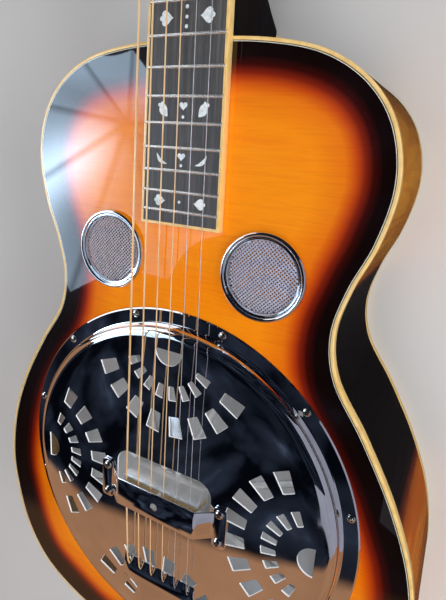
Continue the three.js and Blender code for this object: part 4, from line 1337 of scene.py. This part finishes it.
def make_inlays():
    """Pearl figures set between the frets, in pairs about the middle."""
    def space(n):
        return (fret_y(n - 1) + fret_y(n)) / 2

    def both(make, n, x, wide, tall, flip):
        return [loop for s in (-1, 1) for loop in make(s * x, space(n), wide, tall, s * flip)]

    def centred(n, up, wide, tall, x=0.2):
        return heart(x, space(n) + up, wide, tall)

    def dot(n, up, radius, x=0):
        return [circle(x, space(n) + up, radius, 24)]

    octave_dots = dot(12, 5.4, 1.15) + dot(12, 0, 1.05) + dot(12, -5.2, 1.15)
    figures = {
        3: centred(3, 0, 7, 7, 0) + both(leaf, 3, 12, 9, 11, 1),
        5: both(spade, 5, 12.5, 11, 9.5, -1) + dot(5, 0, 1.4),
        7: both(crescent, 7, 12, 9.5, 9, 1) + centred(7, 1.5, 6.5, 6.5, 0) + dot(7, -4.6, 1.1),
        9: both(leaf, 9, 12.5, 8.5, 9.5, 1) + dot(9, 0, 1.4),
        12: both(spade, 12, 13.6, 10.2, 8.6, -1) + octave_dots,
        15: both(leaf, 15, 14.6, 7.8, 8.2, 1) + centred(15, 2.0, 5.8, 5.2) + dot(15, -4.2, 1.0, 0.2),
        17: both(crescent, 17, 14.4, 8.2, 7.2, 1) + centred(17, 1.6, 5.8, 5.0) + dot(17, -3.6, 1.0, 0.2),
        19: both(spade, 19, 14.6, 9.2, 7.2, -1) + dot(19, 0, 1.0),
    }
    top = TOP + BOARD_TOP
    for n, loops in figures.items():
        lifts = [0.01 + 0.006 * (i % 3) for i in range(len(loops))]  # keeps overlapping parts apart
        mesh = joined(*[plate([loop], top - 0.4, top + lift) for loop, lift in zip(loops, lifts)])
        add_piece(f"inlay_{n:02d}", mesh, "pearl")


def make_nut():
    half = NUT_HALF - 0.2
    low, high = TOP + 0.02, TOP + NUT_HEIGHT + 0.4
    line = [(half, low), (half, high - 1.2), (half - 0.6, high)]
    for k in range(5, -1, -1):
        x = string_x(k, "nut")
        r = STRING_RADIUS[k]
        bed = TOP + NUT_HEIGHT - r
        line += [(x + r + 0.35, high), (x + r, bed + r * 0.6), (x + r * 0.5, bed), (x - r * 0.5, bed),
                 (x - r, bed + r * 0.6), (x - r - 0.35, high)]
    line += [(-half + 0.6, high), (-half, high - 1.2), (-half, low)]
    mesh = plate([line], -2.8, 2.8, 0.3, 2)
    mesh = moved(mesh, shift(0, SCALE + 2.8, 0) @ ON_EDGE)
    add_piece("nut_raised", mesh, "bone", ["nut"])


# ---- Strings and tuners ----
def string_x(k, where):
    return (k - 2.5) * SPACING[where]


def post_of(k):
    side = -1 if k < 3 else 1
    row = k if k < 3 else 5 - k
    return side, POST_Y[row], side * (SLOT_IN + 3.5 + 3.6 * (2 - row))


def make_strings():
    for k, r in enumerate(STRING_RADIUS):
        side, y, x = post_of(k)
        end = HEAD @ (Vector((x, y - 1, -POST_DROP + 4.6 + r + 0.1)) * MM) / MM
        crest = TOP + SADDLE_HEIGHT - 0.9 + r + 0.1
        xs, xn, xt = string_x(k, "saddle"), string_x(k, "nut"), string_x(k, "tail")
        tail = [(xt, ANCHOR_Y + 0.8, TOP + 12.9), (xt, ANCHOR_Y + 2.2, TOP + 14.6),
                (xt, ANCHOR_Y + 5, TOP + 15.9), (xt, ANCHOR_Y + 12, TOP + 16.4 + r)]
        saddle = [(xs, SADDLE_Y - 2.2, crest - 0.05), (xs, SADDLE_Y - 0.8, crest + 0.05),
                  (xs, SADDLE_Y + 0.8, crest + 0.08), (xs, SADDLE_Y + 2.2, crest + 0.02)]
        nut = [(xn, SCALE - 0.4, TOP + NUT_HEIGHT), (xn, SCALE + 3, TOP + NUT_HEIGHT),
               (xn, SCALE + 5.4, TOP + NUT_HEIGHT - 0.6)]
        wire = tube([*tail, *saddle, *nut, end], r, 14)
        finish = f"wound_{k + 1}" if k < len(WINDING_PITCH) else "plain"
        reel = [(0.7, -1.6), (1.9, -1.6), (2.1, -1.2), (1.5, 0), (2.1, 1.2), (1.9, 1.6), (0.7, 1.6)]
        ball = moved(lathe(reel, 20), shift(xt, ANCHOR_Y + 0.2, TOP + 11.9) @ CROSSWISE)
        add_piece(f"string_{k + 1}_wire", wire, finish, [f"string_{k + 1}"], sharp=60)
        add_piece(f"string_{k + 1}_ball", ball, "brass")
        coil = []
        for step in range(24 * 4 + 1):
            a = math.pi / 2 + 2 * math.pi * step / 24
            out = 4.62 + r
            along = x - side * (step / 24) * r * 2.1
            coil.append((along, y + out * math.cos(a), -POST_DROP + out * math.sin(a)))
        mesh = moved(tube(coil, r, 8), HEAD)
        add_piece(f"string_{k + 1}_coil", mesh, finish, body=f"roller_{k + 1}", sharp=60)


def make_tuners():
    for k in range(6):
        side, y, _ = post_of(k)
        make_roller(k, side, y)
        make_worm(k, side, y)
        make_button(k, side, y)
    for name, side in (("bass", -1), ("treble", 1)):
        make_tuner_plate(name, side)


def make_roller(k, side, y):
    start, end = SLOT_IN + 0.7, SLOT_OUT - 0.7
    profile = [(0, start), (4.6, start), (4.6, start + 0.4), (4.5, start + 0.8), (4.5, end - 0.8),
               (4.6, end - 0.4), (4.6, end), (2.9, end), (2.9, GEAR_X - 1.6), (0, GEAR_X - 1.6)]
    barrel = lathe(profile, 32)
    teeth = []
    step = 2 * math.pi / GEAR_TEETH
    for n in range(GEAR_TEETH):
        middle = (n + 0.5) * step
        flank = [(4.9, 0.32), (5.3, 0.27), (6.2, 0.16), (6.5, 0.09)]  # radius, half width in tooth steps
        for radius, offset in [(r, -w) for r, w in flank] + flank[::-1]:
            a = middle + offset * step + math.pi / 2
            teeth.append((radius * math.cos(a), radius * math.sin(a)))
    gear = moved(plate([teeth], -1.7, 1.7, 0.2, 1), shift(0, 0, GEAR_X))
    boss_line = [(0, -2), (2.6, -2), (2.6, 2), (2.2, 2.2), (0, 2.2)]
    boss = lathe([(r, GEAR_X + z) for r, z in boss_line], 32)
    slot = [block(-0.45, 0.45, -3, 3, GEAR_X + 1.5, GEAR_X + 4)]
    whole = joined(barrel, gear, carved(boss, slot))
    outwards = Matrix.Rotation(0 if side > 0 else math.pi, 4, "Z") @ CROSSWISE
    mesh = moved(whole, HEAD @ shift(0, y, -POST_DROP) @ outwards)
    add_piece(f"roller_gear_{k + 1}", mesh, "brass", [f"string_roller_{k + 1}"], body=f"roller_{k + 1}")


def make_worm(k, side, y):
    """The worm's thread is a ridge that climbs one lead in each turn."""
    low, high = -28 + POST_DROP, 7.4
    zs = [low + 0.01, *np.linspace(low + 1, -4.4, 5), *np.linspace(-4.2, 4.2, 64), 4.4, 7.0]

    def reshape(a, r, z):
        if abs(z) > 4.3:
            return r
        phase = (z / WORM_LEAD - a / (2 * math.pi)) % 1
        ridge = max(0.0, 1 - abs(phase - 0.5) / 0.28)
        fade = min(1, (4.3 - abs(z)) / 0.8)
        return 2.35 + 1.1 * min(1, ridge * 1.7) * fade

    profile = [(0, low), *[(1.8 if abs(z) > 4.3 else 2.35, z) for z in zs], (1.5, high), (0, high)]
    meshing = Matrix.Rotation(math.pi / 2, 4, "Z")
    place = HEAD @ shift(side * GEAR_X, y + WORM_OFFSET, -POST_DROP) @ meshing
    mesh = moved(lathe(profile, 40, radius=reshape), place)
    add_piece(f"worm_{k + 1}", mesh, "nickel", [f"tuner_shaft_{k + 1}"], body=f"tuner_{k + 1}", sharp=50)


def make_button(k, side, y):
    """An oval button, dished on both faces, on the shaft's end."""
    bm = bmesh.new()
    rings = []
    for i in range(9):
        t = -1 + 2 * i / 8
        swell = (1 - abs(t) ** 2.6) ** 0.5
        wide, tall = 8.5 * (0.80 + 0.20 * swell), 6.5 * (0.78 + 0.22 * swell)
        rings.append([bm.verts.new((wide * math.cos(a), t * 3.5, tall * math.sin(a)))
                      for a in np.linspace(0, 2 * math.pi, 40, endpoint=False)])
    skin(bm, rings, caps=False)
    for ring, t in ((rings[0], -1), (rings[-1], 1)):
        centre = bm.verts.new((0, t * 2.9, 0))
        for i in range(40):
            bm.faces.new((ring[i], ring[(i + 1) % 40], centre))
    mesh = bevelled(from_bmesh(bm), 0.4, 2, 35)
    collar = lathe([(0, 4.6), (2.6, 4.6), (3.1, 5.4), (2.6, 8.2), (1.9, 8.9), (0, 8.9)], 24)
    place = HEAD @ shift(side * GEAR_X, y + WORM_OFFSET, -29.5)
    add_piece(f"button_{k + 1}", moved(mesh, place), "button", [f"tuner_button_{k + 1}"],
              body=f"tuner_{k + 1}")
    add_piece(f"button_collar_{k + 1}", moved(collar, place), "nickel", body=f"tuner_{k + 1}")


def make_tuner_plate(name, side):
    outline = rounded_rect(POST_Y[0] - 14, POST_Y[2] + 22, -17, -1.5, 5)
    flat = plate([outline, *[circle(y, -POST_DROP, 3.3, 32) for y in POST_Y]], 0.3, 1.5, 0.25, 2)
    stand = Matrix(((0, 0, side, side * HEAD_HALF * MM), (1, 0, 0, 0), (0, 1, 0, 0), (0, 0, 0, 1)))
    parts = [moved(flat, stand)]
    for y in POST_Y:
        for z in (-POST_DROP - 7, -POST_DROP + 4.6):
            x0, x1 = sorted((side * (HEAD_HALF + 0.4), side * (GEAR_X + 2.8)))
            lug = block(x0, x1, y + WORM_OFFSET - 3.4, y + WORM_OFFSET + 3.4, z, z + 2.4)
            bore = rod(2.0, -30, 5, 24, (side * GEAR_X, y + WORM_OFFSET, 0))
            parts.append(bevelled(carved(lug, [bore]), 0.5, 2, 40))
    for y in (POST_Y[0] - 9.5, POST_Y[0] + 22, POST_Y[1] + 22, POST_Y[2] + 17.5):
        head = cross_screw(2.0, 1.1)
        turn = Matrix.Rotation(side * math.pi / 2, 4, "Y")
        parts.append(moved(head, shift(side * (HEAD_HALF + 1.5), y, -POST_DROP) @ turn))
    mesh = joined(*parts)
    mesh.transform(HEAD)
    add_piece(f"machine_plate_{name}", mesh, "nickel", [f"tuner_plate_{name}"])


# ---- Set: floor, world, lights, camera ----
def make_floor():
    s = Surface("pale_floor", Roughness=0.7)
    cloud = s.noise(s.coords, 3, 3)
    pale = s.mix(s.grey(cloud, 0.3, 0.7), (0.60, 0.60, 0.60), (0.56, 0.56, 0.565))
    mirrored = s.node("ShaderNodeLightPath").outputs["Is Glossy Ray"]
    s.feed(s.mix(mirrored, pale, (0.012, 0.014, 0.018)), "Base Color")
    seen = s.maths("SUBTRACT", 1.0, mirrored)
    far = s.grey(s.polar(), 0.7, 2.8, 0.0, 0.55)
    s.shine((0.97, 0.98, 1), s.maths("MULTIPLY", seen, far))
    bm = bmesh.new()
    bmesh.ops.create_grid(bm, x_segments=4, y_segments=4, size=6)
    floor = bpy.data.objects.new("floor", from_bmesh(bm, 1))
    floor.data.materials.append(s.material)
    bpy.context.collection.objects.link(floor)


def make_world():
    """A pale room to the eye; mirrors see a dark room with a warm wooden floor beyond the tail."""
    world = bpy.data.worlds.new("room")
    bpy.context.scene.world = world
    world.use_nodes = True
    world.node_tree.nodes.clear()
    w = Nodes(world.node_tree, "Generated")
    split = w.node("ShaderNodeSeparateXYZ")
    w.put(w.coords, split.inputs[0])
    below = w.grey(w.vector_maths("DOT_PRODUCT", w.coords, (-0.24, 1, 0.97)), 0.01, -0.02)
    beyond, tailward = w.grey(split.outputs["X"], -0.77, -0.80), w.grey(split.outputs["Y"], 0.03, 0.0)
    bass_wall = w.maths("MULTIPLY", beyond, tailward)
    wood = w.ramp(w.noise(w.coords, 6, 2, 0.5), [(0, (0.24, 0.115, 0.06)), (1, (0.46, 0.24, 0.13))])
    cloth = w.ramp(w.noise(w.coords, 2.2, 5, 0.5, 4), [
        (0.42, (0.0015, 0.002, 0.004)), (0.62, (0.018, 0.024, 0.040)), (0.76, (0.07, 0.09, 0.14)),
    ])
    mirrored = w.node("ShaderNodeBackground")
    w.put(w.mix(w.maths("MAXIMUM", below, bass_wall), cloth, wood), mirrored.inputs["Color"])
    seen = w.node("ShaderNodeBackground")
    seen.inputs["Color"].default_value = (0.75, 0.76, 0.78, 1)
    choose = w.node("ShaderNodeMixShader")
    w.put(w.node("ShaderNodeLightPath").outputs["Is Camera Ray"], choose.inputs[0])
    w.put(mirrored.outputs[0], choose.inputs[1])
    w.put(seen.outputs[0], choose.inputs[2])
    w.put(choose.outputs[0], w.node("ShaderNodeOutputWorld").inputs["Surface"])


def soft_light(name, place, target, size, power, mirrored=True):
    data = bpy.data.lights.new(name, "AREA")
    data.shape = "RECTANGLE"
    data.size = data.size_y = size
    data.energy = power
    lamp = bpy.data.objects.new(name, data)
    lamp.location = place
    lamp.rotation_euler = (Vector(target) - Vector(place)).to_track_quat("-Z", "Y").to_euler()
    lamp.visible_glossy = mirrored
    lamp.visible_camera = False
    bpy.context.collection.objects.link(lamp)


def make_lights():
    middle = (0, 0.1, 0.1)
    soft_light("overhead", (0.3, 0.2, 2.2), middle, 2.4, 40, mirrored=False)
    soft_light("side_fill", (2.4, 0.4, 1.0), (0.15, 0.1, 0.05), 1.4, 44, mirrored=False)
    soft_light("front_fill", (1.2, -1.4, 1.3), middle, 1.2, 10, mirrored=False)
    soft_light("under_plate", (0, PLATE_Y * MM, (TOP + 7) * MM), (0, PLATE_Y * MM, 0), 0.19, 0.026)
    side_sheet = [
        (2.1, 1.3, 0.05), (1.6, 1.3, 1.4), (1.6, -0.35, 1.4), (0.55, -0.75, 1.79), (0.05, -0.98, 1.79),
        (0.05, -1.30, 1.79), (0.35, -1.45, 1.79), (1.2, -1.25, 1.3), (2.04, -1.23, 0.56), (2.06, -1.23, 0.02),
    ]
    head_sheet = [(-1.5, 0.3, 0.15), (-1.35, 0.3, 0.85), (-0.75, 1.3, 0.95), (-0.8, 1.35, 0.15)]
    bright_sheet("side_sheet", side_sheet, (0.78, 0.80, 1), 0.34)
    bright_sheet("head_sheet", head_sheet, (0.93, 0.96, 1), 1.4)
    make_umbrella()


def bright_sheet(name, corners, colour, strength):
    """A hung cloth that only mirrors see: it gives the plate's shoulder its pale bands."""
    s = Surface(name, (0.02, 0.02, 0.02))
    fold = s.grey(s.noise(s.coords, 2.5, 3), 0.3, 0.7, strength * 0.85, strength * 1.15)
    s.shine(colour, fold)
    middle = sum((Vector(c) for c in corners), Vector()) / len(corners)
    n = len(corners)
    mesh = bpy.data.meshes.new(name)
    mesh.from_pydata([*corners, middle], [], [(i, (i + 1) % n, n) for i in range(n)])
    mesh.materials.append(s.material)
    hang_up(bpy.data.objects.new(name, mesh))


def hang_up(cloth):
    bpy.context.collection.objects.link(cloth)
    cloth.visible_camera = False
    cloth.visible_shadow = False
    cloth.visible_diffuse = False


def make_umbrella():
    """An eight-ribbed white umbrella high on the bass side: the soft window in the lacquer."""
    tips = [(-0.19, 0.0), (-0.17, -0.15), (-0.03, -0.36), (0.30, -0.38), (0.52, -0.14), (0.46, 0.16),
            (0.30, 0.32), (0.0, 0.24)]
    rows = 14
    per = 12
    bm = bmesh.new()
    rings = []
    marks = []
    for i in range(1, rows + 1):
        ring = []
        for k, tip in enumerate(tips):
            after = tips[(k + 1) % len(tips)]
            for j in range(per):
                t = j / per
                slack = 1 - 0.35 * t * (1 - t)
                ease = i / rows
                a = ((1 - t) * tip[0] + t * after[0]) * slack * ease
                b = ((1 - t) * tip[1] + t * after[1]) * slack * ease
                ring.append(bm.verts.new((a, b, 0)))
                marks.append((min(t, 1 - t) * ease, a, b))
        rings.append(ring)
    skin(bm, rings, caps=False)
    hub = bm.verts.new((0, 0, 0))
    marks.append((0, 0, 0))
    n = len(rings[0])
    for i in range(n):
        bm.faces.new((hub, rings[0][i], rings[0][(i + 1) % n]))
    mesh = unpacked(bm)
    store(mesh, "seam", [m[0] for m in marks])
    store(mesh, "glow", [umbrella_glow(a, b) for _, a, b in marks])
    s = Surface("umbrella_cloth", (0.02, 0.02, 0.02))
    seam = s.grey(s.attribute("seam"), 0.0, 0.06, 0.45, 1.0)
    weave = s.grey(s.noise(s.coords, 3, 2), 0.3, 0.7, 0.85, 1.15)
    s.shine((0.60, 0.79, 1), s.maths("MULTIPLY", s.maths("MULTIPLY", s.attribute("glow"), seam), weave))
    cloth = bpy.data.objects.new("umbrella", mesh)
    along = Vector((-0.0693, -0.9976, 0))
    across = Vector((0.7797, -0.0541, 0.6238))
    facing = along.cross(across)
    turn = Matrix((along, across, facing)).transposed().to_4x4()
    cloth.matrix_world = Matrix.Translation((-0.732, 0.314, 0.958)) @ turn
    cloth.data.materials.append(s.material)
    hang_up(cloth)


def umbrella_glow(a, b):
    """Brightest over the lamp, in a band along the rib that points to the guitar's waist."""
    reach = 0.62 * a - 0.79 * b
    off = 0.79 * a + 0.62 * b - 0.5 * max(0, reach - 0.3)
    lamp = math.exp(-((off / 0.075) ** 2)) * min(1, max(0, (reach - 0.03) / 0.16))
    outer = min(1, max(0, -b / 0.28, -a / 0.12))
    return 1.7 + 5.6 * outer + 14 * lamp


def make_camera():
    """Close over the treble side of the upper bout, looking down and back to the tail."""
    data = bpy.data.cameras.new("camera")
    camera = bpy.data.objects.new("camera", data)
    right = Vector((0.8737924, 0.0603887, -0.4825349))
    down = Vector((0.1766282, -0.9639070, 0.1992131))
    ahead = Vector((-0.4530886, -0.2593002, -0.8529210))
    turn = Matrix((right, -down, -ahead)).transposed()
    place = Vector((0.16705, 0.25181, TOP * MM + 0.26946))
    camera.matrix_world = Matrix.Translation(place) @ turn.to_4x4()
    data.lens = 28.62
    data.sensor_width = 36
    data.shift_x = 0.0196
    data.shift_y = -0.0354
    data.clip_start = 0.01
    bpy.context.collection.objects.link(camera)
    bpy.context.scene.camera = camera


bpy.context.scene.view_settings.view_transform = "Standard"
make_camera()
make_floor()
make_world()
make_lights()
make_soundboard()
make_back()
make_side()
make_edges()
make_inside()
make_coverplate()
make_cone()
make_spider()
make_saddles()
make_palm_rest()
make_screws()
make_screens()
make_tailpiece()
make_strap_button()
make_neck()
make_fretboard()
make_inlays()
make_nut()
make_strings()
make_tuners()
